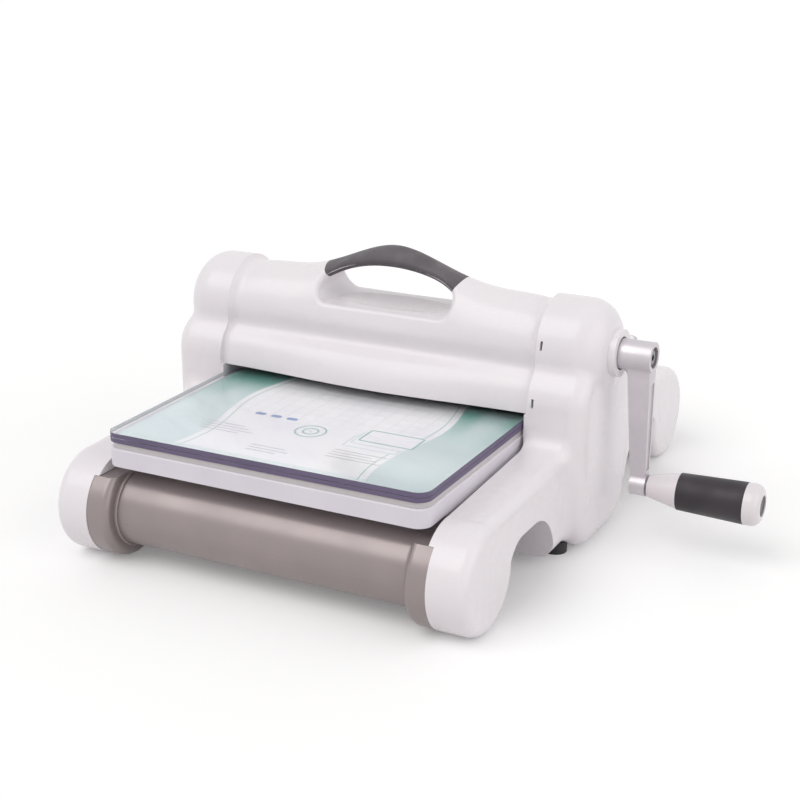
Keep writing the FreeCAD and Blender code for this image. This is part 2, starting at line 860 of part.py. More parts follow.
def plate_bore(name, radius, across, height):
    """A hole through the right side plate."""
    return rod(name, radius, "plate_thick", ("plate_inner", across, height))


def build_frame():
    """Side plates, the tie bars between them and their nuts."""
    holes = [
        plate_bore("plate_upper_bore", "bush_radius", "0", "upper_axis"),
        plate_bore("plate_lower_bore", "bush_radius", "0", "lower_axis"),
    ]
    for which, places in bar_places().items():
        for i, (across, height) in enumerate(places):
            holes.append(plate_bore(f"plate_{which}_bar_{i}", "bar_thread + running_fit",
                                    across, height))
    for i, sign in enumerate(("", "-")):
        holes.append(plate_bore(f"plate_screw_{i}", "screw_radius + running_fit",
                                f"{sign}case_screw_half", "case_screw_height"))
    shared = cut("plate_shared", plate_outline("plate_blank"), holes)
    node(mirrored("left_side_plate", shared), "left_side_plate")
    shaft_hole = plate_bore("plate_crank_bore", "shaft_radius + bush_wall", "0", "crank_axis")
    node(cut("right_side_plate", shared, [shaft_hole]), "right_side_plate")

    reach = "plate_outer + nut_thick + thread_tail"
    nuts = []
    for which, places in bar_places().items():
        bars = []
        for i, (across, height) in enumerate(places):
            core = rod(f"{which}_bar_core_{i}", "bar_radius", "2 * plate_inner",
                       ("-plate_inner", across, height))
            thread = rod(f"{which}_bar_thread_{i}", "bar_thread", f"2 * ({reach})",
                         (f"-({reach})", across, height))
            bars.append(fuse(f"{which}_bar_{i}", [core, thread]))
            for word, start in (("right", "plate_outer"), ("left", "-plate_outer - nut_thick")):
                nuts.append(hex_nut(f"{which}_{word}_nut_{i}", start, across, height))
        node(group(f"{which}_tie_bars", bars), f"{which}_tie_bars")
    node(group("tie_bar_nuts", nuts), "tie_bar_nuts")


def hex_nut(name, start, across, height):
    """A hexagon nut on a tie bar end."""
    prismatic = doc.addObject("Part::Prism", name + "_hex")
    prismatic.Polygon = 6
    tie(prismatic, "Circumradius", "nut_flats / sqrt(3)")
    tie(prismatic, "Height", "nut_thick")
    place(prismatic, (start, across, height), ALONG_X)
    bore = rod(name + "_bore", "bar_thread + seat_fit", "nut_thick", (start, across, height))
    return cut(name, prismatic, [bore])


def rim_at(radius, along):
    """Tests whether an edge is a circle about X of one radius, at a place on either side."""
    def test(edge):
        box = edge.BoundBox
        return abs(box.YLength / 2 - radius) < NEAR and abs(abs(box.XMin) - along) < NEAR \
            and box.XLength < NEAR
    return test


def build_tubes():
    """Silver covers between the arm ends, flattened under the platform, and the rods inside."""
    for sign, word in (("-", "front"), ("", "rear")):
        at = f"{sign}arm_axis"
        shoulder = "end_face - collar_width"
        bore = "tube_radius - tube_wall"
        neck = "tube_radius + neck_step"
        points = [
            ("-end_face", bore),
            ("-end_face", "collar_radius"),
            (f"-({shoulder})", "collar_radius"),
            (f"-({shoulder})", neck),
            (f"-({shoulder} - neck_length)", neck),
            (f"-({shoulder} - neck_length)", "tube_radius"),
            (f"{shoulder} - neck_length", "tube_radius"),
            (f"{shoulder} - neck_length", neck),
            (shoulder, neck),
            (shoulder, "collar_radius"),
            ("end_face", "collar_radius"),
            ("end_face", bore),
        ]
        body = turned(f"{word}_tube_body", points, "arm_height")
        tie(body, "Placement.Base.y", at)
        for radius, place_x, soften in (("collar_radius", shoulder, "collar_edge"),
                                        (neck, f"{shoulder} - neck_length", "neck_edge")):
            rounded(body, rim_at(size(radius), size(place_x)), soften)
        above = block(f"{word}_tube_flat", ("-end_face", f"{at} - collar_radius", "collar_flat"),
                      ("2 * end_face", "2 * collar_radius", "collar_radius"))
        cover = cut(f"{word}_tube_cover", body, [above])
        node(cover, f"{word}_tube_cover")
        half = "arm_outer - case_wall - rod_end_gap"
        tie_rod = rod(f"{word}_tie_rod", "rod_radius", f"2 * ({half})",
                      (f"-({half})", at, "arm_height"))
        node(tie_rod, f"{word}_tie_rod")


def handle_lift(along):
    """Height of the handle's rise at a place along X: a long low bell and a short one on it.

    Each bell is a squared cosine that is level past its own foot.
    """
    low = size("slope_rise")
    lift = 0.0
    for rise, foot in ((low, size("handle_foot")),
                       (size("handle_rise") - low, size("crest_half"))):
        if abs(along) < foot:
            lift += rise * math.cos(math.pi * along / (2 * foot)) ** 2
    return lift


def bridge_wire(along, inset, shrink, low):
    """The bridge's outline across X: a lobe, a soft waist and a bulged lip, as one curve.

    The lobe is half an ellipse at the ends and a parabola below the handle. Each lip is a line
    from its corner to the waist, bulged by a parabola. Inset draws the outline in from the
    housing's; shrink draws in the handle alone.
    """
    lift = handle_lift(along)
    centre = size("crank_axis")
    across = size("lobe_radius") - inset - shrink
    rise = size("lobe_radius") - inset + lift - shrink
    power = 1 + lift / size("handle_rise")
    waist = Vector(along, across - size("waist_in"), centre - size("waist_drop"))
    bow = size("lip_bow") * math.cos(math.pi * along / (2 * size("seam_half"))) ** 2
    lip = Vector(along, size("lip_half") + bow - shrink, low)
    outward = Vector(0, waist.z - lip.z, lip.y - waist.y).normalize() * size("lip_bulge")
    steps = 3
    right = []
    for i in range(steps):
        share = i / steps
        right.append(lip + (waist - lip) * share + outward * (4 * share * (1 - share)))
    right.append(waist + Vector(0, size("waist_soft"), 0))
    count = 8
    upper = []
    for i in range(count + 1):
        angle = math.pi * i / count
        height = rise * abs(math.sin(angle)) ** power
        upper.append(Vector(along, across * math.cos(angle), centre + height))
    left = [Vector(along, -spot.y, spot.z) for spot in reversed(right)]
    curve = Part.BSplineCurve()
    curve.interpolate(right + upper + left)
    return Part.Wire([curve.toShape(), Part.makeLine(left[-1], right[0])])


def bridge_solid(shrink):
    """The whole bridge as one solid, flared at both ends to meet the housings."""
    end = size("seam_half")
    flare = size("flare_length")
    inset = size("bridge_inset")
    low = size("lip_height")
    straight = end - flare
    stations = 8
    wires = []
    for i in range(stations + 1):
        along = -straight + 2 * straight * i / stations
        wires.append(bridge_wire(along, inset, shrink, low))
    solid = Part.makeLoft(wires, True, False)
    if shrink > 0:
        return solid
    steps = 4
    for sign in (-1, 1):
        wires = []
        for i in range(steps + 1):
            share = i / steps
            drawn = inset * (1 - share ** 3)
            wires.append(bridge_wire(sign * (straight + flare * share), drawn, shrink, low))
        solid = solid.fuse(Part.makeLoft(wires, True, False))
    return solid


def handle_slot(drop):
    """The finger slot below the carrying handle, as a prism through the bridge along Y."""
    half = size("slot_half")
    floor = size("slot_floor")
    corner = size("handle_bar") / 2
    crest = size("bridge_top + handle_rise - handle_bar") - drop
    side = crest - size("slot_arch")
    reach = size("lower_half")

    def spot(x, z):
        return Vector(x, -reach, z)

    inner = half - corner
    upper = inner + corner * size("slot_lean")
    middle = floor + corner * size("slot_swell")
    edges = [
        Part.makeLine(spot(-inner, floor), spot(inner, floor)),
        Part.Arc(spot(inner, floor), spot(half, middle), spot(upper, side)).toShape(),
        Part.Arc(spot(upper, side), spot(0, crest), spot(-upper, side)).toShape(),
        Part.Arc(spot(-upper, side), spot(-half, middle), spot(-inner, floor)).toShape(),
    ]
    return Part.Face(Part.Wire(edges)).extrude(Vector(0, 2 * reach, 0))


def grip_zone():
    """The stretch of the handle that the grip covers, between two leaning end planes."""
    low = size("slot_floor + handle_bar / 2")
    tall = size("handle_rise + handle_bar + lobe_radius")
    near = size("grip_half")
    wide = near + tall * size("grip_lean")
    reach = size("lower_half")
    corners = [(-near, low), (near, low), (wide, low + tall), (-wide, low + tall)]
    points = [Vector(x, -reach, z) for x, z in corners]
    return Part.Face(Part.makePolygon(points + points[:1])).extrude(Vector(0, 2 * reach, 0))


def bridge_hollow():
    """The room inside the bridge for the upper roller and the tie bars."""
    wall = size("case_wall")
    end = size("seam_half")
    low = size("lip_height - cut_past")
    centre = size("crank_axis")
    lobe = size("lobe_radius - bridge_inset - case_wall")
    waist = centre - size("waist_drop")
    neck = lobe - size("waist_in")
    lip = size("lip_half") - wall
    sill = size("slot_sill")
    crown = math.sqrt(lobe ** 2 - (sill - centre) ** 2)
    half = [(lip, low), (neck, waist), (lobe, centre), (crown, sill)]
    loop = half + [(-y, z) for y, z in reversed(half)]
    points = [Vector(-end, y, z) for y, z in loop]
    along = Vector(1, 0, 0)
    room = Part.Face(Part.makePolygon(points + points[:1])).extrude(along * 2 * end)
    inner = size("slot_half + 2 * handle_bar")
    for start in (-end, inner):
        room = room.fuse(Part.makeCylinder(lobe, end - inner, Vector(start, 0, centre), along))
    return room


def slot_dish():
    """The shallow dish in the slot's floor, from the outer side of a wide ring."""
    depth = size("dish_depth")
    half = size("dish_half")
    end = size("dish_end")
    floor = size("slot_floor")
    across = (half ** 2 + depth ** 2) / (2 * depth)
    along = (end ** 2 + depth ** 2) / (2 * depth)
    centre = Vector(0, 0, floor - depth + along)
    wheel = Part.makeTorus(along - across, across, centre, Vector(0, 1, 0))
    low = Vector(-end, -half, floor - 2 * depth)
    return wheel.common(Part.makeBox(2 * end, 2 * half, 2 * depth, low))


def pierced_bridge():
    """The whole bridge with its finger slot, whose rims are rounded and whose floor is dished."""
    slot = handle_slot(0)
    solid = bridge_solid(0).cut(slot).Solids[0]
    middle = size("slot_rim")
    shares = (0.1, 0.5, 0.9)

    def on_rim(edge):
        first, last = edge.ParameterRange
        spots = [edge.valueAt(first + (last - first) * share) for share in shares]
        if min(abs(spot.y) for spot in spots) < middle:
            return False
        return all(slot.Shells[0].distToShape(Part.Vertex(spot))[0] < NEAR for spot in spots)
    rims = [edge for edge in solid.Edges if on_rim(edge)]
    return solid.makeFillet(size("slot_rim"), rims).cut(slot_dish())


def build_bridge():
    """Front and rear halves of the bridge cover, the grip on its handle and its screws."""
    whole = pierced_bridge()
    far = size("lower_half")
    core = bridge_solid(size("grip_wall")).cut(handle_slot(-size("grip_wall")))
    sleeve = whole.common(grip_zone()).cut(core)
    grip = doc.addObject("Part::Feature", "handle_grip")
    grip.Shape = sleeve
    node(grip, "handle_grip")

    shell = whole.cut(bridge_hollow()).cut(sleeve)
    across = Vector(0, 1, 0)
    boss_r = size("head_boss")
    height = size("bridge_screw_height")
    reach = size("lobe_radius - bridge_inset - case_wall")
    head_at = reach * size("head_share")
    screws = []
    for sign in (-1, 1):
        spot = Vector(sign * size("bridge_screw_half"), 0, height)
        shell = shell.fuse(Part.makeCylinder(boss_r, 2 * head_at, spot - across * head_at, across))
        shank = size("screw_radius")
        head = size("screw_head_wide")
        thick = size("screw_head_thick")
        length = size("case_screw_length")
        seat = head_at - thick
        fit = size("seat_fit")
        shell = shell.cut(Part.makeCylinder(shank + fit, seat + length, spot - across * length,
                                            across))
        shell = shell.cut(Part.makeCylinder(head + fit, far, spot + across * seat, across))
        screw = Part.makeCylinder(shank, seat + length, spot - across * length, across)
        screws.append(screw.fuse(Part.makeCylinder(head, thick, spot + across * seat, across)))
    end = size("seam_half")
    tall = size("handle_rise + lobe_top")
    for name, start in (("bridge_front_shell", -2 * far), ("bridge_rear_shell", 0)):
        side = Part.makeBox(2 * end, 2 * far, tall, Vector(-end, start, 0))
        half = doc.addObject("Part::Feature", name)
        half.Shape = shell.common(side)
        node(half, name)
    item = doc.addObject("Part::Feature", "bridge_screws")
    item.Shape = Part.makeCompound(screws)
    node(item, "bridge_screws")


def build_base():
    """Cover and bottom plate round the lower roller, between the inner covers."""
    outer = block("base_outer", ("-path_half", "-lower_half", "arm_floor"),
                  ("2 * path_half", "2 * lower_half", "base_top - arm_floor"))
    room = block("base_room", ("-path_half", "-lower_half + case_wall", "arm_floor"),
                 ("2 * path_half", "2 * (lower_half - case_wall)",
                  "base_top - arm_floor - case_wall"))
    gap = "(roller_radius + base_slot_gap)"
    length = "(barrel_half + base_end_gap)"
    slot = block("base_slot", (f"-{length}", f"-{gap}", "base_top - case_wall - cut_past"),
                 (f"2 * {length}", f"2 * {gap}", "case_wall + 2 * cut_past"))
    posts = []
    holes = []
    screws = []
    seat = "arm_floor + base_plate_thick"
    for i, (sx, sy) in enumerate((("-", "-"), ("", "-"), ("-", ""), ("", ""))):
        x = f"{sx}base_screw_x"
        y = f"{sy}base_screw_y"
        posts.append(rod(f"base_post_{i}", "screw_boss", f"base_top - case_wall / 2 - ({seat})",
                         (x, y, seat), ALONG_Z))
        holes.append(rod(f"base_hole_{i}", "screw_radius + seat_fit",
                         "case_screw_length", (x, y, "arm_floor"), ALONG_Z))
        shank = rod(f"base_shank_{i}", "screw_radius", "case_screw_length",
                    (x, y, "arm_floor"), ALONG_Z)
        head = rod(f"base_head_{i}", "screw_head_wide", "screw_head_thick",
                   (x, y, "arm_floor - screw_head_thick"), ALONG_Z)
        screws.append(fuse(f"base_screw_{i}", [shank, head]))
    shell = cut("base_shell", outer, [room, slot])
    node(cut("base_cover", fuse("base_posted", [shell] + posts), holes), "base_cover")
    plate = block("base_sheet", ("-path_half", "-lower_half + case_wall", "arm_floor"),
                  ("2 * path_half", "2 * (lower_half - case_wall)", "base_plate_thick"))
    node(cut("base_plate", plate, holes), "base_plate")
    node(group("base_screws", screws), "base_screws")


def crank_channel():
    """The shallow channel along the crank's outer face, between two raised rims."""
    low = "knob_axis + eye_radius + channel_end"
    high = "crank_axis - hub_radius - crank_blend - channel_end"
    slope = "(crank_root_half - crank_tip_half) / crank_length"
    narrow = f"crank_tip_half - channel_rim + ({low} - knob_axis) * {slope}"
    wide = f"crank_tip_half - channel_rim + ({high} - knob_axis) * {slope}"
    points = [(f"-({narrow})", low), (narrow, low), (wide, high), (f"-({wide})", high)]
    return prism("crank_channel", "YZ_Plane", points, "channel_depth + cut_past",
                 "crank_face - channel_depth")


def blend_crank(solid):
    """Rounds the inward corners where the crank's arm leaves its hub, at its sides and inside."""
    doc.recompute()
    low = size("crank_axis - hub_radius")
    reach = size("crank_root_half")
    root = size("crank_root_inner")
    amount = size("crank_blend")
    beside = runs_along(0, lambda c: low < c.z < low + reach and NEAR < abs(c.y) < reach)

    def inside(edge):
        box = edge.BoundBox
        return root - NEAR < box.XMin and box.XMax < root + amount and box.ZMin > low - NEAR \
            and box.ZMax < low + reach and box.YLength > reach / 2
    item = doc.addObject("Part::Fillet", "crank_blended")
    item.Base = solid
    item.Edges = [(i, amount, amount) for i, edge in enumerate(solid.Shape.Edges, start=1)
                  if beside(edge) or inside(edge)]
    return item


def build_crank():
    """Crank arm with hub and eye, its shaft, screw and bushes."""
    arm = doc.addObject("PartDesign::Body", "crank_blade")
    sections = []
    for height, inner, half in (("knob_axis", "crank_tip_inner", "crank_tip_half"),
                                ("crank_axis", "crank_root_inner", "crank_root_half")):
        points = [(inner, f"-{half}"), ("crank_face", f"-{half}"), ("crank_face", half),
                  (inner, half)]
        sections.append(outline(arm, "XY_Plane", points, height))
    loft = arm.newObject("PartDesign::AdditiveLoft", "crank_blade_loft")
    loft.Profile = sections[0]
    loft.Sections = [sections[1]]
    doc.recompute()
    hub = rod("crank_hub", "hub_radius", "hub_face - hub_start", ("hub_start", "0", "crank_axis"))
    eye = rod("crank_eye", "eye_radius", "hub_face - crank_tip_inner",
              ("crank_tip_inner", "0", "knob_axis"))
    seat = "hub_face - recess_depth"
    tools = [
        rod("crank_shaft_seat", "shaft_radius + seat_fit", f"{seat} - hub_start",
            ("hub_start", "0", "crank_axis")),
        rod("crank_recess", "recess_radius", "recess_depth", (seat, "0", "crank_axis")),
        rod("crank_spindle_seat", "spindle_radius + seat_fit", "hub_face - crank_tip_inner",
            ("crank_tip_inner", "0", "knob_axis")),
    ]
    tools.append(crank_channel())
    blank = blend_crank(fuse("crank_blank", [arm, hub, eye]))
    node(cut("crank_arm", blank, tools), "crank_arm")

    tail = "plate_inner - clip_thick - 2 * clip_gap - shaft_tail"
    core = rod("crank_shaft_core", "shaft_radius", f"{seat} - ({tail})",
               (tail, "0", "crank_axis"))
    tapped = rod("crank_shaft_tap", "crank_thread + seat_fit", "crank_tap",
                 (f"{seat} - crank_tap", "0", "crank_axis"))
    node(cut("crank_shaft", core, [tapped]), "crank_shaft")
    clip = ring("crank_shaft_clip", "shaft_radius + seat_fit", "shaft_radius + clip_wall",
                "plate_inner - clip_gap - clip_thick", "clip_thick", "crank_axis")
    node(clip, "crank_shaft_clip")
    washer = ring("crank_washer", "crank_thread + seat_fit", "recess_radius - running_fit",
                  seat, "washer_thick", "crank_axis")
    node(washer, "crank_washer")
    under = f"{seat} + washer_thick"
    head = rod("crank_screw_head", "screw_head_radius", "screw_head", (under, "0", "crank_axis"))
    shank = rod("crank_screw_shank", "crank_thread", "crank_screw_length",
                (f"{under} - crank_screw_length", "0", "crank_axis"))
    socket = doc.addObject("Part::Prism", "crank_screw_socket")
    socket.Polygon = 6
    tie(socket, "Circumradius", "screw_head_radius / 2")
    tie(socket, "Height", "screw_head")
    place(socket, (f"{under} + screw_head / 3", "0", "crank_axis"), ALONG_X)
    node(cut("crank_screw", fuse("crank_screw_blank", [head, shank]), [socket]), "crank_screw")

    inner = ring("crank_inner_bush", "shaft_radius + running_fit",
                 "shaft_radius + bush_wall - seat_fit", "plate_inner", "plate_thick", "crank_axis")
    node(inner, "crank_inner_bush")
    outer = ring("crank_outer_bush", "shaft_radius + running_fit",
                 "shaft_bush_radius - seat_fit", "boss_start", "hub_start - hub_gap - boss_start",
                 "crank_axis")
    node(outer, "crank_outer_bush")


def build_knob():
    """Hand knob that turns on a spindle fixed in the crank's eye."""
    head_start = "knob_end - plug_recess - plug_thick - spindle_head_thick - running_fit"
    points = [
        ("crank_tip_inner", "0"),
        ("crank_tip_inner", "spindle_radius"),
        (head_start, "spindle_radius"),
        (head_start, "spindle_head"),
        (f"{head_start} + spindle_head_thick", "spindle_head"),
        (f"{head_start} + spindle_head_thick", "0"),
    ]
    node(turned("knob_spindle", points, "knob_axis"), "knob_spindle")
    bore = "spindle_radius + running_fit"
    core = [
        ("knob_start", bore),
        ("knob_start", "knob_nose_radius"),
        ("knob_cone_end", "knob_cone_radius"),
        ("knob_cone_end", "sleeve_bore"),
        ("sleeve_end", "sleeve_bore"),
        ("sleeve_end", bore),
    ]
    node(turned("knob_core", core, "knob_axis"), "knob_core")
    inner = "sleeve_bore + seat_fit"
    sleeve = [
        ("knob_cone_end", inner),
        ("knob_cone_end", "sleeve_front_radius"),
        ("sleeve_end", "sleeve_back_radius"),
        ("sleeve_end", inner),
    ]
    node(turned("knob_sleeve", sleeve, "knob_axis"), "knob_sleeve")
    face = "knob_end"
    seat = f"{head_start} - running_fit"
    cap = [
        ("sleeve_end", bore),
        ("sleeve_end", "sleeve_back_radius"),
        (face, "sleeve_back_radius"),
        (face, "plug_radius + seat_fit"),
        (seat, "plug_radius + seat_fit"),
        (seat, bore),
    ]
    body = turned("knob_end_cap", cap, "knob_axis")
    rounded(body, rim_at(size("sleeve_back_radius"), size(face)), "knob_cap_round")
    node(body, "knob_end_cap")
    plug = rod("knob_plug", "plug_radius", "plug_thick",
               ("plug_face - plug_thick", "0", "knob_axis"))
    node(plug, "knob_plug")


def build_feet():
    """Rubber feet below the housings and thin pads below the arm ends."""
    feet = []
    for i, (sx, sy) in enumerate((("-", "-"), ("", "-"), ("-", ""), ("", ""))):
        feet.append(rod(f"foot_{i}", "foot_radius", "arm_floor",
                        (f"{sx}foot_half", f"{sy}foot_depth", "0"), ALONG_Z))
        feet.append(rod(f"end_foot_{i}", "end_foot_radius", "arm_end_floor",
                        (f"{sx}end_foot_half", f"{sy}arm_axis", "0"), ALONG_Z))
    node(group("rubber_feet", feet), "rubber_feet")


def build_case_screws():
    """Screws that hold the side plates on the housing bosses."""
    screws = []
    for word in ("right", "left"):
        for i, side in enumerate(("", "-")):
            across = f"{side}case_screw_half"
            shank_at = "plate_inner" if word == "right" else \
                "-plate_inner - plate_thick - case_screw_length"
            head_at = "plate_inner - screw_head_thick" if word == "right" else "-plate_inner"
            shank = rod(f"case_shank_{word}_{i}", "screw_radius", "plate_thick + case_screw_length",
                        (shank_at, across, "case_screw_height"))
            head = rod(f"case_head_{word}_{i}", "screw_head_wide", "screw_head_thick",
                       (head_at, across, "case_screw_height"))
            screws.append(fuse(f"case_screw_{word}_{i}", [shank, head]))
    node(group("housing_screws", screws), "housing_screws")


def write_parts():
    """Checks every object and writes each node's solids."""
    doc.recompute()
    for item in doc.Objects:
        if "Invalid" in item.State or "Error" in item.State:
            raise RuntimeError(f"{item.Label} failed: {item.State}")
    for item in nodes:
        shape = item.Shape
        if shape.isNull() or not shape.isValid() or not shape.Solids:
            raise RuntimeError(f"{item.Label} has no sound solid")
    os.makedirs("parts", exist_ok=True)
    to_middle = Vector(-size("length_middle"), 0, 0)
    for item in nodes:
        shape = item.Shape.copy()
        shape.translate(to_middle)
        shape.exportStep(f"parts/{item.Label}.step")
        box = shape.BoundBox
        print(f"{item.Label}: {len(shape.Solids)} solids, {shape.Volume:.0f} mm3, "
              f"X {box.XMin:.1f} to {box.XMax:.1f}, Y {box.YMin:.1f} to {box.YMax:.1f}, "
              f"Z {box.ZMin:.1f} to {box.ZMax:.1f}")


build_platform()
build_rollers()
build_gears()
build_housings()
build_inner_covers()
build_frame()
build_tubes()
build_bridge()
build_base()
build_crank()
build_knob()
build_feet()
build_case_screws()
write_parts()
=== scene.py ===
"""Looks of a hand-cranked die cutting machine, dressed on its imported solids.

Metres, in the solids' own frame: X runs along the rollers to the crank, Y to the back, Z up.
"""
import logging
import math
from dataclasses import dataclass
from enum import Enum
from typing import NamedTuple, Optional, Sequence, Union

import bpy
import numpy as np
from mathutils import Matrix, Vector


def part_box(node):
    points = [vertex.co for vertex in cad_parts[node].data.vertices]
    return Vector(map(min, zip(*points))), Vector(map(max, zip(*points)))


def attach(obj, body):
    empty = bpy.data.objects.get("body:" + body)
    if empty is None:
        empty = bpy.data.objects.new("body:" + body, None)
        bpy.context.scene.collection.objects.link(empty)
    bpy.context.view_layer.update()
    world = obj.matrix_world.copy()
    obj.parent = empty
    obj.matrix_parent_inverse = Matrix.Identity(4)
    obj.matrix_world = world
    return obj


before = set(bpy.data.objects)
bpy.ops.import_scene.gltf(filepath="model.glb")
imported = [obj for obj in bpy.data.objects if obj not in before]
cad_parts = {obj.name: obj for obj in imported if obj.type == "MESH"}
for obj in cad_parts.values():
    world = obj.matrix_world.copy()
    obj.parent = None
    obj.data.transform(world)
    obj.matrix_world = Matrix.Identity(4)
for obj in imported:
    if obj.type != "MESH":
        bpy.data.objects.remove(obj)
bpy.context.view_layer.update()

LOG = logging.getLogger("die_cutting_machine")
Socket = bpy.types.NodeSocket
Node = bpy.types.Node
NodeTree = bpy.types.NodeTree
Sockets = bpy.types.bpy_prop_collection
Feed = Union[Socket, float, int, tuple]
Triple = tuple[float, float, float]
Rgb = Triple
Listing = tuple[tuple[str, tuple[str, ...]], ...]
MM = 0.001
NOISE_RANGE = (0.3, 0.7)  # where nearly all values of a noise lie


class Body(str, Enum):
    """The moving groups that a new piece rides on."""

    FRAME = "frame"
    PLATFORM = "platform"


class Axis(Enum):
    """The direction in which a metal was drawn, rolled or turned, as a stretch of its grain."""

    X = (0.02, 1.0, 1.0)
    Y = (1.0, 0.02, 1.0)
    Z = (1.0, 1.0, 0.02)


class Join(Enum):
    """How a grid of points closes on itself."""

    RING = "rows and columns both run round and meet"
    BAR = "columns run round and meet, and the first and last row are capped"


def linear(red: int, green: int, blue: int) -> Rgb:
    """Turns a screen colour into the linear light that shaders take, by the standard screen curve.

    Args:
        red: Screen value from 0 to 255.
        green: Screen value from 0 to 255.
        blue: Screen value from 0 to 255.

    Returns:
        Three linear values from 0 to 1.
    """
    shares = np.array([red, green, blue]) / 255.0
    bright = ((shares + 0.055) / 1.055) ** 2.4
    return tuple(float(v) for v in np.where(shares <= 0.04045, shares / 12.92, bright))


class Wiring:
    """Adds nodes to one tree and links them, each call giving the socket that carries on."""

    def __init__(self, tree: NodeTree) -> None:
        """Keeps the node tree of the material, world or group."""
        self.tree = tree

    def add(self, kind: str, **settings: object) -> Node:
        """Adds a node and sets its own properties.

        Args:
            kind: The node's type name.
            settings: Properties of the node.

        Returns:
            The new node.
        """
        node = self.tree.nodes.new(kind)
        for key, value in settings.items():
            setattr(node, key, value)
        return node

    def feed(self, socket: Socket, value: Optional[Feed]) -> None:
        """Links a socket to another, or sets its plain value.

        Args:
            socket: The input to fill.
            value: A socket to link, a value to set, or None to leave it.
        """
        if value is None:
            return
        if isinstance(value, bpy.types.NodeSocket):
            self.tree.links.new(value, socket)
        else:
            socket.default_value = value

    def fill(self, node: Node, feeds: dict[str, Feed]) -> Sockets:
        """Feeds a node's inputs by their names.

        Args:
            node: The node.
            feeds: Values or sockets by input name.

        Returns:
            The node's outputs.
        """
        for key, value in feeds.items():
            self.feed(node.inputs[key], value)
        return node.outputs

    def math(self, operation: str, first: Feed, second: Optional[Feed] = None) -> Socket:
        """Adds one step of arithmetic.

        Args:
            operation: The node's operation name.
            first: First operand.
            second: Second operand.

        Returns:
            The result.
        """
        node = self.add("ShaderNodeMath", operation=operation)
        for socket, value in zip(node.inputs, (first, second)):
            self.feed(socket, value)
        return node.outputs[0]

    def times(self, first: Feed, second: Feed) -> Socket:
        """Multiplies two values."""
        return self.math("MULTIPLY", first, second)

    def weigh(self, first: Feed, share: float, second: Feed) -> Socket:
        """Adds a share of the first value to the remaining share of the second."""
        return self.math("ADD", self.times(first, share), self.times(second, 1.0 - share))

    def vector(self, operation: str, first: Feed, second: Optional[Feed] = None) -> Socket:
        """Adds one step of vector arithmetic.

        Args:
            operation: The node's operation name.
            first: First operand.
            second: Second operand.

        Returns:
            The resulting vector, or the value of a length or dot product.
        """
        node = self.add("ShaderNodeVectorMath", operation=operation)
        for socket, value in zip(node.inputs, (first, second)):
            self.feed(socket, value)
        return node.outputs["Value" if operation in ("LENGTH", "DOT_PRODUCT") else "Vector"]

    def span(self, value: Feed, low: float, high: float, start: float = 0.0,
             end: float = 1.0) -> Socket:
        """Maps a range smoothly onto another and holds it at its ends.

        Args:
            value: The value to map.
            low: Where the result is start.
            high: Where the result is end.
            start: The result at low.
            end: The result at high.

        Returns:
            The mapped value.
        """
        node = self.add("ShaderNodeMapRange", interpolation_type="SMOOTHSTEP")
        return self.fill(node, {"Value": value, "From Min": low, "From Max": high,
                                "To Min": start, "To Max": end})["Result"]

    def noise(self, vector: Feed, scale: Feed, detail: float = 2.0, rough: float = 0.5) -> Socket:
        """Adds a cloudy noise.

        Args:
            vector: Where it is sampled.
            scale: Features per metre.
            detail: Finer layers.
            rough: How strong the finer layers are.

        Returns:
            A value about 0.5.
        """
        node = self.add("ShaderNodeTexNoise")
        return self.fill(node, {"Vector": vector, "Scale": scale, "Detail": detail,
                                "Roughness": rough})["Fac"]

    def cloud(self, vector: Feed, scale: float, detail: float = 2.0) -> Socket:
        """Spreads a noise over the whole range from 0 to 1."""
        return self.span(self.noise(vector, scale, detail), *NOISE_RANGE)

    def cells(self, vector: Feed, scale: Feed) -> Socket:
        """Distance to the nearest middle of small round cells, so many to a metre."""
        node = self.add("ShaderNodeTexVoronoi")
        return self.fill(node, {"Vector": vector, "Scale": scale})["Distance"]

    def mix(self, share: Feed, first: Feed, second: Feed) -> Socket:
        """Mixes two colours.

        Args:
            share: 0 for the first, 1 for the second.
            first: A colour of three values, or a socket.
            second: A colour of three values, or a socket.

        Returns:
            The mixed colour.
        """
        node = self.add("ShaderNodeMix", data_type="RGBA")
        self.feed(node.inputs["Factor"], share)
        for key, value in (("A", first), ("B", second)):
            socket = [s for s in node.inputs if s.name == key and s.type == "RGBA"][0]
            self.feed(socket, (*value, 1.0) if isinstance(value, tuple) else value)
        return [s for s in node.outputs if s.type == "RGBA"][0]

    def split(self, vector: Feed) -> tuple[Socket, Socket, Socket]:
        """Splits a vector.

        Args:
            vector: The vector.

        Returns:
            Its three values.
        """
        node = self.add("ShaderNodeSeparateXYZ")
        self.feed(node.inputs[0], vector)
        return tuple(node.outputs)

    def group(self, tree: NodeTree, **feeds: Feed) -> Sockets:
        """Adds a shared group, fills its named inputs and gives its outputs."""
        return self.fill(self.add("ShaderNodeGroup", node_tree=tree), feeds)


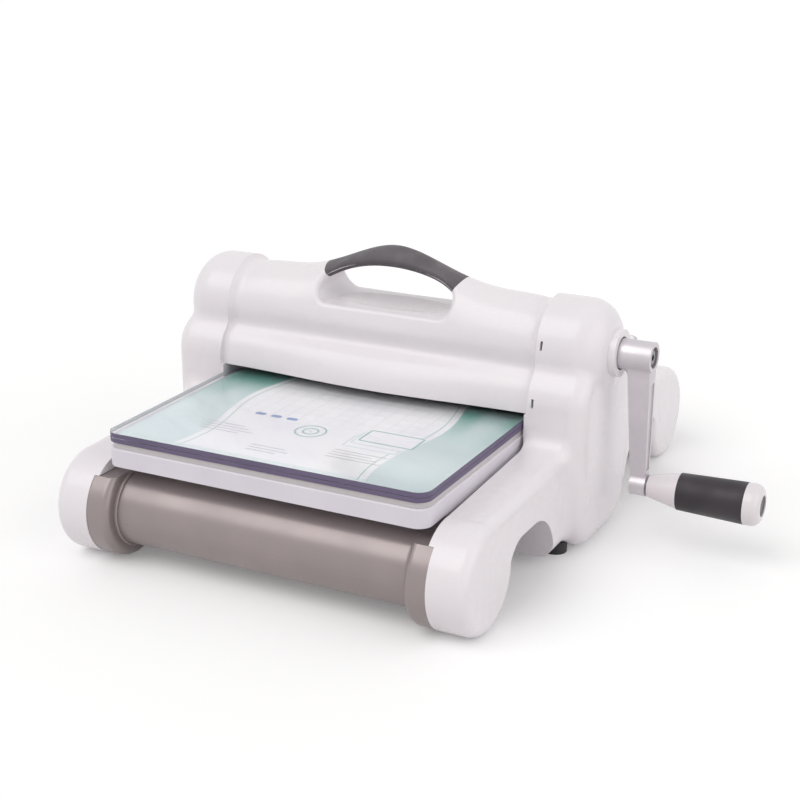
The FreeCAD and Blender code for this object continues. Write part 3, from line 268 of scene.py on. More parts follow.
class Effects:
    """The shared surface effects, each a node group that takes a place and gives masks or heights.

    Scales are features per metre, and a stretch is features per metre along each axis.
    """

    SINK_MARKS = 26.0
    SPARK = 2600.0
    SMUDGES = 38.0
    RUB_STRETCH = (60.0, 700.0, 380.0)
    DUST_DRIFTS = 70.0
    FINE_GRAIN = 3200.0
    BROAD_GRAIN = 500.0
    CAST_PITS = 900.0
    CAST_SWELL = 160.0
    CAST_CLOUDS = 90.0
    HAND_POLISH = 45.0
    MARK_STRETCH = (9.0, 1500.0, 1.0)
    MARKS = ((0.5, 0.66), (-0.9, 0.68))  # turn in radians, and the noise value where a mark starts
    MARK_SOFTNESS = 0.05

    def __init__(self) -> None:
        """Builds every group once."""
        self.skin = self._skin()
        self.wear = self._wear()
        self.dust = self._dust()
        self.brushed = self._brushed()
        self.cast = self._cast()
        self.stipple = self._stipple()
        self.hairlines = self._hairlines()

    @staticmethod
    def _start(name: str, outputs: Sequence[str],
               **inputs: Optional[float]) -> tuple[Wiring, Sockets, Sockets]:
        """Makes an empty group that takes a place as Vector.

        Args:
            name: The group's name.
            outputs: Names of the value outputs.
            inputs: Further inputs by name: a number's plain value, or None for a vector.

        Returns:
            Its wiring, what it is given and what it has to fill.
        """
        tree = bpy.data.node_groups.new(name, "ShaderNodeTree")
        for label, value in {"Vector": None, **inputs}.items():
            kind = "NodeSocketVector" if value is None else "NodeSocketFloat"
            socket = tree.interface.new_socket(name=label, in_out="INPUT", socket_type=kind)
            if value is not None:
                socket.default_value = value
        for label in outputs:
            tree.interface.new_socket(name=label, in_out="OUTPUT", socket_type="NodeSocketFloat")
        wires = Wiring(tree)
        return wires, wires.add("NodeGroupInput").outputs, wires.add("NodeGroupOutput").inputs

    def _skin(self) -> NodeTree:
        """Moulded plastic: slow sink marks, a faint orange peel and a fine spark texture.

        Returns:
            A group with a tone, a gloss change and a height.
        """
        wires, given, result = self._start("moulded_skin", ("Tone", "Gloss", "Height"), Peel=420.0)
        flow = wires.noise(given["Vector"], self.SINK_MARKS, detail=3.0)
        peel = wires.noise(given["Vector"], given["Peel"], detail=1.0)
        spark = wires.noise(given["Vector"], self.SPARK)
        wires.feed(result["Tone"], wires.span(flow, low=0.25, high=0.75))
        wires.feed(result["Gloss"], wires.span(wires.weigh(flow, 0.6, spark), *NOISE_RANGE))
        wires.feed(result["Height"], wires.weigh(peel, 0.7, spark))
        return wires.tree

    def _wear(self) -> NodeTree:
        """Handling: soft smudges and a few short rubs.

        Returns:
            A group with a mask.
        """
        wires, given, result = self._start("handling_wear", ("Mask",), Amount=0.5)
        patches = wires.noise(given["Vector"], self.SMUDGES, detail=4.0, rough=0.6)
        smudge = wires.span(patches, low=0.5, high=0.72)
        stretched = wires.vector("MULTIPLY", given["Vector"], self.RUB_STRETCH)
        rub = wires.span(wires.noise(stretched, 1.0), low=0.68, high=0.74)
        both = wires.math("MAXIMUM", wires.times(smudge, 0.6), rub)
        wires.feed(result["Mask"], wires.times(both, given["Amount"]))
        return wires.tree

    def _dust(self) -> NodeTree:
        """A trace of paper dust on what faces up.

        Returns:
            A group with a mask.
        """
        wires, given, result = self._start("paper_dust", ("Mask",), Amount=0.3)
        facing = wires.split(wires.add("ShaderNodeNewGeometry").outputs["Normal"])[2]
        upward = wires.span(facing, low=0.55, high=0.98)
        patches = wires.noise(given["Vector"], self.DUST_DRIFTS, detail=5.0, rough=0.65)
        drift = wires.span(patches, low=0.42, high=0.75)
        wires.feed(result["Mask"], wires.times(wires.times(upward, drift), given["Amount"]))
        return wires.tree

    def _brushed(self) -> NodeTree:
        """Metal drawn or turned in one direction, given as shares of the place along each axis.

        Returns:
            A group with a tone and a height.
        """
        wires, given, result = self._start("brushed_metal", ("Tone", "Height"), Stretch=None)
        drawn = wires.vector("MULTIPLY", given["Vector"], given["Stretch"])
        wires.feed(result["Tone"], wires.cloud(drawn, self.BROAD_GRAIN))
        wires.feed(result["Height"], wires.noise(drawn, self.FINE_GRAIN, detail=3.0, rough=0.6))
        return wires.tree

    def _cast(self) -> NodeTree:
        """Cast metal, tumbled smooth: small pits on a slow swell.

        Returns:
            A group with a tone and a height.
        """
        wires, given, result = self._start("cast_metal", ("Tone", "Height"))
        pits = wires.span(wires.cells(given["Vector"], self.CAST_PITS), low=0.05, high=0.45)
        swell = wires.noise(given["Vector"], self.CAST_SWELL, detail=3.0)
        wires.feed(result["Tone"], wires.cloud(given["Vector"], self.CAST_CLOUDS, detail=4.0))
        wires.feed(result["Height"], wires.weigh(pits, 0.5, swell))
        return wires.tree

    def _stipple(self) -> NodeTree:
        """Soft-touch rubber: a dense field of tiny bumps, polished where hands rub it.

        Returns:
            A group with a polish mask and a height.
        """
        wires, given, result = self._start("rubber_stipple", ("Polish", "Height"), Scale=1500.0)
        cells = wires.cells(given["Vector"], given["Scale"])
        rubbed = wires.noise(given["Vector"], self.HAND_POLISH, detail=3.0)
        wires.feed(result["Polish"], wires.span(rubbed, low=0.35, high=0.7))
        wires.feed(result["Height"], wires.span(cells, low=0.0, high=0.6, start=1.0, end=0.0))
        return wires.tree

    def _hairlines(self) -> NodeTree:
        """Fine cutting marks and rubs on clear sheets, in two directions.

        Returns:
            A group with a mask.
        """
        wires, given, result = self._start("hairline_marks", ("Mask",))
        lines = []
        for turn, low in self.MARKS:
            rotate = wires.add("ShaderNodeVectorRotate", rotation_type="Z_AXIS")
            turned = wires.fill(rotate, {"Vector": given["Vector"], "Angle": turn})["Vector"]
            drawn = wires.vector("MULTIPLY", turned, self.MARK_STRETCH)
            lines.append(wires.span(wires.noise(drawn, 1.0), low, low + self.MARK_SOFTNESS))
        wires.feed(result["Mask"], wires.math("MAXIMUM", *lines))
        return wires.tree


@dataclass(frozen=True)
class Swatch:
    """A material while it is made: wiring, shader, the place on the object and the effects."""

    wires: Wiring
    surface: Node
    place: Socket
    effects: Effects


class Pattern(NamedTuple):
    """What a finish paints: a colour, a roughness and a relief from 0 to 1."""

    colour: Socket
    rough: Socket
    height: Socket


@dataclass(frozen=True)
class Finish:
    """One material's plain values, and the steps that all materials share."""

    name: str
    colour: Rgb
    shade: Rgb
    smooth: float
    rough: float
    metallic: float = 0.0
    specular: float = 0.5
    coat: float = 0.0
    sheen: float = 0.0
    bump: float = 0.2
    depth: float = 0.02 * MM
    dust: float = 0.0
    wear: float = 0.3

    COAT_ROUGHNESS = 0.06
    SHEEN_ROUGHNESS = 0.45
    WEAR_ROUGHNESS = 0.12
    DUST_ROUGHNESS = 0.25
    DUST_COLOUR = (0.74, 0.72, 0.70)

    def make(self, effects: Effects) -> bpy.types.Material:
        """Builds the material: plain values and its own pattern, then relief, smudges and dust.

        Args:
            effects: The shared effects.

        Returns:
            The material.
        """
        material = bpy.data.materials.new(self.name)
        material.use_nodes = True
        material.diffuse_color = (*self.colour, 1.0)
        wires = Wiring(material.node_tree)
        surface = material.node_tree.nodes["Principled BSDF"]
        wires.fill(surface, {
            "Metallic": self.metallic, "Specular IOR Level": self.specular,
            "Coat Weight": self.coat, "Coat Roughness": self.COAT_ROUGHNESS,
            "Sheen Weight": self.sheen, "Sheen Roughness": self.SHEEN_ROUGHNESS})
        place = wires.add("ShaderNodeTexCoord").outputs["Object"]
        swatch = Swatch(wires, surface, place, effects)
        pattern = self.pattern(swatch)
        self._raise(swatch, pattern.height)
        self._settle(swatch, pattern)
        return material

    def pattern(self, swatch: Swatch) -> Pattern:
        """Paints the finish; each kind of finish has its own way."""
        raise NotImplementedError(self.name)

    def _spread(self, swatch: Swatch, effect: NodeTree, tone: str, gloss: str,
                ends: tuple[float, float] = (0.0, 1.0), **feeds: Feed) -> Pattern:
        """Spreads the two colours and the range of roughness by the masks of one effect.

        Args:
            swatch: The material being made.
            effect: The effect's group.
            tone: Its output that mixes the colours.
            gloss: Its output that sets the roughness.
            ends: That output's values where the finish is smooth and where it is rough.
            feeds: The group's inputs besides the place.

        Returns:
            The colour, the roughness and the effect's relief.
        """
        masks = swatch.wires.group(effect, Vector=swatch.place, **feeds)
        colour = swatch.wires.mix(masks[tone], self.colour, self.shade)
        rough = swatch.wires.span(masks[gloss], *ends, self.smooth, self.rough)
        return Pattern(colour, rough, masks["Height"])

    def _raise(self, swatch: Swatch, height: Socket) -> None:
        """Gives the shader a fine relief.

        Args:
            swatch: The material being made.
            height: The relief, from 0 to 1.
        """
        wires = swatch.wires
        bump = wires.fill(wires.add("ShaderNodeBump"), {
            "Strength": self.bump, "Distance": self.depth, "Height": height})
        wires.feed(swatch.surface.inputs["Normal"], bump["Normal"])

    def _settle(self, swatch: Swatch, pattern: Pattern) -> None:
        """Adds smudges and dust where the finish has them, then feeds colour and roughness.

        Args:
            swatch: The material being made.
            pattern: Its clean colour and roughness.
        """
        wires, effects, place = swatch.wires, swatch.effects, swatch.place
        colour, rough, _ = pattern
        if self.wear:
            wear = wires.group(effects.wear, Vector=place, Amount=self.wear)["Mask"]
            rough = wires.math("ADD", rough, wires.times(wear, self.WEAR_ROUGHNESS))
        if self.dust:
            dust = wires.group(effects.dust, Vector=place, Amount=self.dust)["Mask"]
            colour = wires.mix(dust, colour, self.DUST_COLOUR)
            rough = wires.math("ADD", rough, wires.times(dust, self.DUST_ROUGHNESS))
        wires.fill(swatch.surface, {"Base Color": colour, "Roughness": rough})


@dataclass(frozen=True)
class Moulded(Finish):
    """Injection-moulded plastic with a faint orange peel of so many bumps per metre."""

    peel: float = 420.0

    def pattern(self, swatch: Swatch) -> Pattern:
        """Clouds colour and gloss slowly under the peel."""
        return self._spread(swatch, swatch.effects.skin, "Tone", "Gloss", Peel=self.peel)


@dataclass(frozen=True)
class Rubber(Finish):
    """Soft-touch rubber with a stippled skin of so many bumps per metre."""

    sheen: float = 0.08
    stipple: float = 1500.0

    def pattern(self, swatch: Swatch) -> Pattern:
        """Polishes the stipple where hands rub it."""
        return self._spread(swatch, swatch.effects.stipple, "Polish", "Polish", (1.0, 0.0),
                            Scale=self.stipple)


class Cast(Finish):
    """Cast and tumbled metal."""

    def pattern(self, swatch: Swatch) -> Pattern:
        """Clouds colour and gloss together over the pits."""
        return self._spread(swatch, swatch.effects.cast, "Tone", "Tone")


@dataclass(frozen=True)
class Drawn(Finish):
    """Metal that was drawn, rolled or turned in one direction."""

    along: Axis = Axis.X

    def pattern(self, swatch: Swatch) -> Pattern:
        """Runs fine and broad grain along the finish's direction."""
        return self._spread(swatch, swatch.effects.brushed, "Tone", "Height", NOISE_RANGE,
                            Stretch=self.along.value)


@dataclass(frozen=True)
class Board(Moulded):
    """White moulded board whose set-back upper step is painted a warmer grey as shade under the
    pads' edge.
    """

    step: float = 79.2 * MM
    step_softness: float = 0.05 * MM
    # painted shade: the set-back step under the pads' edge is coloured grey where shade falls
    step_painted_shade: Rgb = linear(199, 194, 195)

    def pattern(self, swatch: Swatch) -> Pattern:
        """Paints shade, a warmer grey, on what lies above the step.

        Args:
            swatch: The material being made.

        Returns:
            Its colour, roughness and relief.
        """
        wires, plain = swatch.wires, super().pattern(swatch)
        # painted shade: everything above the step's height takes the grey
        upper = wires.span(wires.split(swatch.place)[2], self.step - self.step_softness,
                           self.step + self.step_softness)
        return plain._replace(colour=wires.mix(upper, plain.colour, self.step_painted_shade))


@dataclass(frozen=True)
class SawnEdge(Moulded):
    """Tinted sawn edge of a clear plate, whose inward face is painted pale as painted light, as the
    lit edge looks from inside the plate.
    """

    middle: Triple = (-53.0 * MM, -27.1 * MM, 0.0)
    # painted light: the pale colour of the edge's inward face stands in for light seen through the
    # plate
    inner_painted_light: Rgb = linear(220, 226, 230)

    def pattern(self, swatch: Swatch) -> Pattern:
        """Tints what faces away from the plate's middle and paints the rest pale as painted light.

        Args:
            swatch: The material being made.

        Returns:
            Its colour, roughness and relief.
        """
        wires, plain = swatch.wires, super().pattern(swatch)
        outward = wires.vector("SUBTRACT", swatch.place, self.middle)
        normal = wires.add("ShaderNodeNewGeometry").outputs["Normal"]
        # painted light: faces turned towards the plate's middle get the pale colour
        inward_painted_light = wires.math("LESS_THAN", wires.vector("DOT_PRODUCT", normal, outward), 0.0)
        return plain._replace(colour=wires.mix(inward_painted_light, plain.colour, self.inner_painted_light))


@dataclass(frozen=True)
class ClearSheet(Finish):
    """Clear cutting plate: glassy faces with hairline marks, which let light down to the print."""

    index: float = 1.2
    clouds: float = 30.0

    def pattern(self, swatch: Swatch) -> Pattern:
        """Makes the plate clear, lets lamp light through it and cuts the marks into it.

        Args:
            swatch: The material being made.

        Returns:
            Its colour, roughness and relief.
        """
        wires = swatch.wires
        lit = wires.add("ShaderNodeLightPath").outputs["Is Shadow Ray"]
        wires.fill(swatch.surface, {"Transmission Weight": 1.0, "IOR": self.index,
                                    "Alpha": wires.math("SUBTRACT", 1.0, lit)})
        marks = wires.group(swatch.effects.hairlines, Vector=swatch.place)["Mask"]
        tone = wires.mix(wires.cloud(swatch.place, self.clouds), self.colour, self.shade)
        worn = wires.span(marks, 0.0, 1.0, self.smooth, self.rough)
        return Pattern(tone, worn, wires.times(marks, -1.0))


class Block(NamedTuple):
    """A rounded rectangle on the print, in millimetres."""

    middle: tuple[float, float]
    half: tuple[float, float]
    corner: float


@dataclass(frozen=True)
class PrintedSheet(Finish):
    """Printed sheet on the board: bands, a grid, plain line blocks and simple figures.

    Places on the print are millimetres across and along from the sheet's middle line and from its
    front edge.
    """

    middle: float = -53.0
    front: float = -179.6
    half_width: float = 110.0
    length: float = 369.0
    teal: Rgb = linear(84, 168, 150)
    pale: Rgb = linear(206, 224, 223)
    grey: Rgb = linear(150, 156, 158)
    blue: Rgb = linear(96, 130, 190)
    soft: float = 0.25

    PAPER_CLOUDS = 55.0  # per metre, as the fibres are
    FIBRES = 1800.0
    BAND = 40.0
    BAND_SOFTNESS = 1.0
    RIPPLE_TURN = 0.045  # radians per millimetre
    RIPPLE_DEPTH = 5.0
    PALE_END = 45.0  # how far from each end of the sheet the bands stay pale
    DEEP_FROM = 150.0  # and from where they are deep
    SWIRL_STRETCH = (0.03, 0.012, 0.0)
    REAR_FADE = (34.0, 20.0)
    REAR_SHARES = (0.9, 0.15)
    RULE = (46.0, 45.0)
    FOOT = (9.0, 10.0)
    TRIM_SHARE = 0.6
    GRID_PITCH = 10.0
    GRID_LINE = (0.12, 0.4)
    GRID_SHARE = 0.35
    GRID_ZONE = Block((0.0, 140.0), (72.0, 60.0), 4.0)
    NOTE_PITCH = 4.0
    NOTE_LINE = (0.35, 0.65)
    NOTE_SHARE = 0.75
    NOTE_LEAST = 0.65  # the shortest rule's share of its block's width
    NOTE_UNEVEN = 0.618
    NOTE_MARGIN = 1.0
    NOTE_CORNER = 0.5
    NOTES = ((-70.0, 46.0, 40.0, 9.0), (28.0, 38.0, 38.0, 7.0), (-22.0, 24.0, 30.0, 5.0))
    STACK = Block((46.0, 62.0), (19.0, 10.0), 2.0)
    STACK_STEP = (2.5, 6.0)
    STACK_LINE = (-1.0, 0.2)
    TARGET = (-2.0, 64.0, 0.0)
    TARGET_RADIUS = 14.0
    RING_PITCH = 5.0
    RING_LINE = (0.5, 0.9)
    RING_SHARE = 0.8
    POINTERS = tuple(Block((across, 78.0), (4.0, 2.2), 2.0) for across in (-48.0, -36.0, -24.0))

    def pattern(self, swatch: Swatch) -> Pattern:
        """Prints the layers one over the other on faintly fibrous white.

        Args:
            swatch: The material being made.

        Returns:
            Its colour, roughness and relief.
        """
        wires, place = swatch.wires, swatch.place
        millimetres = wires.vector("SCALE", place)
        millimetres.node.inputs["Scale"].default_value = 1.0 / MM
        moved = wires.vector("SUBTRACT", millimetres, (self.middle, self.front, 0.0))
        spot = wires.vector("MULTIPLY", moved, (1.0, 1.0, 0.0))
        colour = wires.mix(wires.noise(place, self.PAPER_CLOUDS), self.colour, self.shade)
        for layer in (self._bands, self._grid, self._notes, self._figures):
            colour = layer(wires, spot, colour)
        fibre = wires.noise(place, self.FIBRES, detail=3.0)
        rough = wires.span(fibre, *NOISE_RANGE, self.smooth, self.rough)
        return Pattern(colour, rough, fibre)

    @staticmethod
    def _distance(wires: Wiring, spot: Socket, block: Block) -> Socket:
        """Distance outside a rounded rectangle: the length of what is left of the place's offset
        beyond the rectangle's inner corner, less the corner radius.

        Args:
            wires: The material's wiring.
            spot: The place on the print.
            block: The rectangle.

        Returns:
            The distance, which is below 0 inside only by up to the corner radius.
        """
        offset = wires.vector("ABSOLUTE", wires.vector("SUBTRACT", spot, (*block.middle, 0.0)))
        inner = (block.half[0] - block.corner, block.half[1] - block.corner, 0.0)
        beyond = wires.vector("MAXIMUM", wires.vector("SUBTRACT", offset, inner), (0.0, 0.0, 0.0))
        return wires.math("SUBTRACT", wires.vector("LENGTH", beyond), block.corner)

    def _inside(self, wires: Wiring, distance: Socket, edge: float = 0.0) -> Socket:
        """Mask of what lies nearer than an edge: 1 inside and 0 outside."""
        return wires.span(distance, edge - self.soft, edge + self.soft, 1.0, 0.0)

    def _between(self, wires: Wiring, distance: Socket, low: float, high: float) -> Socket:
        """Mask of what lies between two distances: 1 there and 0 elsewhere."""
        return wires.math("SUBTRACT", self._inside(wires, distance, high),
                          self._inside(wires, distance, low))

    def _bands(self, wires: Wiring, spot: Socket, colour: Socket) -> Socket:
        """Teal bands along both sides, pale at the ends and deep by the rollers, with soft swirls
        and one thin rule beside each, and a pale band along the front edge.

        Args:
            wires: The material's wiring.
            spot: The place on the print.
            colour: The colour so far.

        Returns:
            The colour with the bands.
        """
        across, along, _ = wires.split(spot)
        half = self.length / 2
        ripple = wires.math("SINE", wires.times(along, self.RIPPLE_TURN))
        wavy = wires.math("ADD", wires.math("ABSOLUTE", across),
                          wires.times(ripple, self.RIPPLE_DEPTH))
        edge = self.half_width - self.BAND
        band = wires.span(wavy, edge - self.BAND_SOFTNESS, edge)
        inner = wires.math("ABSOLUTE", wires.math("SUBTRACT", along, half))
        deep = wires.span(inner, half - self.DEEP_FROM, half - self.PALE_END, 1.0, 0.0)
        drift = wires.noise(wires.vector("MULTIPLY", spot, self.SWIRL_STRETCH), 1.0, detail=1.0)
        swirl = wires.span(drift, low=0.35, high=0.65, start=0.35, end=1.0)
        tint = wires.mix(wires.times(deep, swirl), self.pale, self.teal)
        start, end = (self.length - inset for inset in self.REAR_FADE)
        rear = wires.span(along, start, end, *self.REAR_SHARES)
        colour = wires.mix(wires.times(band, rear), colour, tint)
        rule = self._between(wires, wavy, *(self.half_width - inset for inset in self.RULE))
        colour = wires.mix(wires.times(rule, self.TRIM_SHARE), colour, self.teal)
        foot = wires.span(along, *self.FOOT, 1.0, 0.0)
        return wires.mix(wires.times(foot, self.TRIM_SHARE), colour, self.pale)

    def _grid(self, wires: Wiring, spot: Socket, colour: Socket) -> Socket:
        """A pale cutting grid of ten-millimetre squares across the middle.

        Args:
            wires: The material's wiring.
            spot: The place on the print.
            colour: The colour so far.

        Returns:
            The colour with the grid.
        """
        lines = []
        for value in wires.split(spot)[:2]:
            near = wires.math("PINGPONG", value, self.GRID_PITCH / 2)
            lines.append(wires.span(near, *self.GRID_LINE, 1.0, 0.0))
        zone = self._inside(wires, self._distance(wires, spot, self.GRID_ZONE))
        grid = wires.times(wires.math("MAXIMUM", *lines), zone)
        return wires.mix(wires.times(grid, self.GRID_SHARE), colour, self.grey)

    def _notes(self, wires: Wiring, spot: Socket, colour: Socket) -> Socket:
        """Blocks of plain grey rules of uneven length, where a print has its small notes.

        Args:
            wires: The material's wiring.
            spot: The place on the print.
            colour: The colour so far.

        Returns:
            The colour with the rules.
        """
        across, along, _ = wires.split(spot)
        half_pitch = self.NOTE_PITCH / 2
        near = wires.math("PINGPONG", along, half_pitch)
        rules = wires.span(near, *self.NOTE_LINE, 1.0, 0.0)
        row = wires.math("FLOOR", wires.math("DIVIDE", wires.math("ADD", along, half_pitch),
                                             self.NOTE_PITCH))
        uneven = wires.math("FRACT", wires.times(row, self.NOTE_UNEVEN))
        for left, low, width, tall in self.NOTES:
            half = width / 2
            block = Block((left + half, low), (half + self.NOTE_MARGIN, tall), self.NOTE_CORNER)
            zone = self._inside(wires, self._distance(wires, spot, block))
            spare = wires.times(uneven, width * (1.0 - self.NOTE_LEAST))
            end = wires.math("ADD", left + width * self.NOTE_LEAST, spare)
            drawn = wires.times(wires.times(zone, rules), wires.math("LESS_THAN", across, end))
            colour = wires.mix(wires.times(drawn, self.NOTE_SHARE), colour, self.grey)
        return colour

    def _figures(self, wires: Wiring, spot: Socket, colour: Socket) -> Socket:
        """Stacked outlines of sheets, target rings and small blue pointers.

        Args:
            wires: The material's wiring.
            spot: The place on the print.
            colour: The colour so far.

        Returns:
            The colour with the figures.
        """
        for i, tint in enumerate((self.pale, self.pale, self.teal)):
            middle = tuple(a + i * b for a, b in zip(self.STACK.middle, self.STACK_STEP))
            sheet = self._distance(wires, spot, self.STACK._replace(middle=middle))
            colour = wires.mix(self._inside(wires, sheet), colour, self.colour)
            colour = wires.mix(self._between(wires, sheet, *self.STACK_LINE), colour, tint)
        radius = wires.vector("LENGTH", wires.vector("SUBTRACT", spot, self.TARGET))
        near = wires.math("PINGPONG", radius, self.RING_PITCH / 2)
        rings = wires.times(wires.span(near, *self.RING_LINE, 1.0, 0.0),
                            self._inside(wires, radius, self.TARGET_RADIUS))
        colour = wires.mix(wires.times(rings, self.RING_SHARE), colour, self.teal)
        for pointer in self.POINTERS:
            dot = self._inside(wires, self._distance(wires, spot, pointer))
            colour = wires.mix(dot, colour, self.blue)
        return colour


class Finishes:
    """Every material of the machine, by its slot name in the record or its own name."""

    def __init__(self, effects: Effects) -> None:
        """Builds the materials.

        Args:
            effects: The shared effects.
        """
        recipes = (
            Moulded("white_shell", linear(238, 233, 236), linear(236, 231, 235), smooth=0.24,
                    rough=0.32, coat=0.14, dust=0.03, wear=0.15),
            Moulded("silver_cover", linear(156, 145, 144), linear(150, 139, 139), smooth=0.3,
                    rough=0.38, metallic=0.42, coat=0.1, dust=0.04),
            Rubber("soft_grip", linear(84, 79, 84), linear(92, 87, 92), smooth=0.42, rough=0.6,
                   bump=0.35, depth=0.05 * MM, dust=0.08),
            Moulded("knob_white", linear(232, 226, 228), linear(227, 220, 224), smooth=0.24,
                    rough=0.34, coat=0.15),
            Rubber("knob_rubber", linear(40, 33, 39), linear(46, 39, 45), smooth=0.44, rough=0.58,
                   bump=0.3, depth=0.05 * MM),
            Moulded("dark_plug", linear(58, 54, 58), linear(50, 47, 50), smooth=0.3, rough=0.45),
            Cast("cast_crank", linear(212, 206, 211), linear(206, 201, 206), smooth=0.34,
                 rough=0.42, metallic=0.6, bump=0.12, depth=0.03 * MM),
            Drawn("bright_steel", linear(196, 196, 198), linear(182, 182, 186), smooth=0.14,
                  rough=0.24, metallic=1.0),
            Drawn("plate_steel", linear(160, 160, 163), linear(146, 147, 150), smooth=0.28,
                  rough=0.42, metallic=1.0, along=Axis.Z),
            Drawn("gear_steel", linear(142, 140, 138), linear(124, 122, 121), smooth=0.24,
                  rough=0.4, metallic=1.0),
            Drawn("fastener", linear(150, 150, 152), linear(132, 132, 136), smooth=0.2, rough=0.34,
                  metallic=1.0, along=Axis.Z),
            Drawn("bronze", linear(186, 146, 96), linear(164, 124, 78), smooth=0.24, rough=0.36,
                  metallic=1.0),
            Board("board_white", linear(228, 224, 231), linear(222, 217, 226), smooth=0.26,
                  rough=0.4, coat=0.1),
            PrintedSheet("printed_sheet", linear(250, 249, 249), linear(247, 247, 247),
                         smooth=0.35, rough=0.5, bump=0.05),
            ClearSheet("clear_pad", linear(254, 254, 255), linear(252, 252, 254), smooth=0.1,
                       rough=0.25, specular=0.3, bump=0.1, wear=0.0),
            SawnEdge("pad_edge", linear(106, 95, 124), linear(98, 88, 116), smooth=0.4, rough=0.55,
                     bump=0.3),
            Rubber("foot_rubber", linear(30, 29, 30), linear(38, 36, 37), smooth=0.5, rough=0.7),
            Drawn("base_sheet", linear(176, 176, 178), linear(166, 166, 170), smooth=0.3,
                  rough=0.42, metallic=1.0, along=Axis.Y, dust=0.1),
        )
        self.by_name = {recipe.name: recipe.make(effects) for recipe in recipes}

    def dress(self, piece: bpy.types.Object, name: str) -> None:
        """Gives a piece the named material alone."""
        piece.data.materials.clear()
        piece.data.materials.append(self.by_name[name])


class Surface:
    """Makes closed mesh pieces from grids of points."""

    @staticmethod
    def outward(points: np.ndarray, quads: np.ndarray) -> bool:
        """Tells which way the faces point: the volumes between the points' middle and each half of
        each face, signed by its winding, add up to more than 0 where they point out.

        Args:
            points: Array of points by 3.
            quads: Array of faces by 4 point numbers.

        Returns:
            Whether the faces point outwards.
        """
        one, two, three, four = (points[quads[:, k]] - points.mean(axis=0) for k in range(4))
        halves = np.cross(one, two) * three + np.cross(one, three) * four
        return float(halves.sum()) > 0.0

    @classmethod
    def grid(cls, name: str, points: np.ndarray, join: Join, body: Body, slot: str,
             finishes: Finishes, finish: str = "") -> None:
        """Joins a grid of points into quads and lets the piece ride on a body.

        Args:
            name: The piece's name.
            points: Array of rows by columns by 3.
            join: How the grid closes.
            body: The body that carries it.
            slot: The record's slot name.
            finishes: The materials.
            finish: The finish where it isn't the slot's own.
        """
        rows, columns, _ = points.shape
        index = np.arange(rows * columns).reshape(rows, columns)
        index = np.pad(index, ((0, int(join is Join.RING)), (0, 1)), mode="wrap")
        quads = np.stack([index[:-1, :-1], index[:-1, 1:], index[1:, 1:], index[1:, :-1]], axis=-1)
        quads = quads.reshape(-1, 4)
        caps = [] if join is Join.RING else [index[0, -2::-1], index[-1, :-1]]
        flat = points.reshape(-1, 3)
        step = 1 if cls.outward(flat, quads) else -1
        faces = [face[::step].tolist() for face in (*quads, *caps)]
        mesh = bpy.data.meshes.new(name)
        mesh.from_pydata(flat, [], faces)
        mesh.polygons.foreach_set("use_smooth", np.arange(len(faces)) < len(quads))
        mesh.update()
        piece = bpy.data.objects.new(name, mesh)
        bpy.context.scene.collection.objects.link(piece)
        finishes.dress(piece, finish or slot)
        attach(piece, body.value)
        LOG.info("built %s with %d faces", name, len(faces))


@dataclass
class SubAssembly:
    """A group of solids that are dressed together."""

    finishes: Finishes
    solids: Listing = ()

    def dress(self) -> None:
        """Gives every solid of the group the material that it is listed under."""
        for slot, names in self.solids:
            for name in names:
                self.finishes.dress(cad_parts[name], slot)
                LOG.info("dressed %s in %s", name, slot)

    def build(self) -> None:
        """Adds the group's own fine pieces; a plain group has none."""


@dataclass
class Case(SubAssembly):
    """White end housings, feed walls, bridge cover, grip and base."""

    solids: Listing = (
        ("white_shell", ("left_housing", "right_housing", "left_inner_cover", "right_inner_cover",
                         "bridge_front_shell", "bridge_rear_shell", "base_cover")),
        ("soft_grip", ("handle_grip",)),
        ("base_sheet", ("base_plate",)),
        ("fastener", ("bridge_screws", "base_screws")),
        ("foot_rubber", ("rubber_feet",)),
    )


@dataclass
class Tubes(SubAssembly):
    """Silver covers between the arm ends, with their mould lines."""

    solids: Listing = (
        ("silver_cover", ("front_tube_cover", "rear_tube_cover")),
        ("bright_steel", ("front_tie_rod", "rear_tie_rod")),
    )
    radius: float = 25.2 * MM
    height: float = 34.5 * MM
    across: float = 163.2 * MM
    start: float = -154.6 * MM
    end: float = 48.6 * MM
    tilt: float = math.radians(-7.0)
    line_width: float = 0.5 * MM
    line_rise: float = 0.12 * MM
    line_inset: float = 0.02  # share of the tube that is left free at each end
    line_taper: float = 6.0  # how steeply the ends swell to full size
    rows: int = 60
    columns: int = 10

    def build(self) -> None:
        """Adds one mould line along each tube, on its outer side."""
        for name, side in (("front_tube_line", -1.0), ("rear_tube_line", 1.0)):
            self._line(name, side)

    def _line(self, name: str, side: float) -> None:
        """A low bead along the tube, half sunk in it: at each place along X its section is an oval,
        a cosine round the tube and a sine out from it, and both shrink towards the ends.

        Args:
            name: The piece's name.
            side: -1 for the front tube and 1 for the rear one.
        """
        share = np.linspace(self.line_inset, 1.0 - self.line_inset, self.rows)[:, None]
        along = self.start + (self.end - self.start) * share
        turn = np.linspace(0.0, 2 * np.pi, self.columns, endpoint=False)[None, :]
        taper = np.minimum(1.0, self.line_taper * np.sin(np.pi * share))
        angle = self.tilt + taper * np.cos(turn) * self.line_width / (2 * self.radius)
        reach = self.radius + taper * np.sin(turn) * self.line_rise
        points = np.stack(np.broadcast_arrays(
            along, side * (self.across + reach * np.cos(angle)),
            self.height + reach * np.sin(angle)), axis=-1)
        Surface.grid(name, points, Join.BAR, Body.FRAME, "silver_cover", self.finishes)


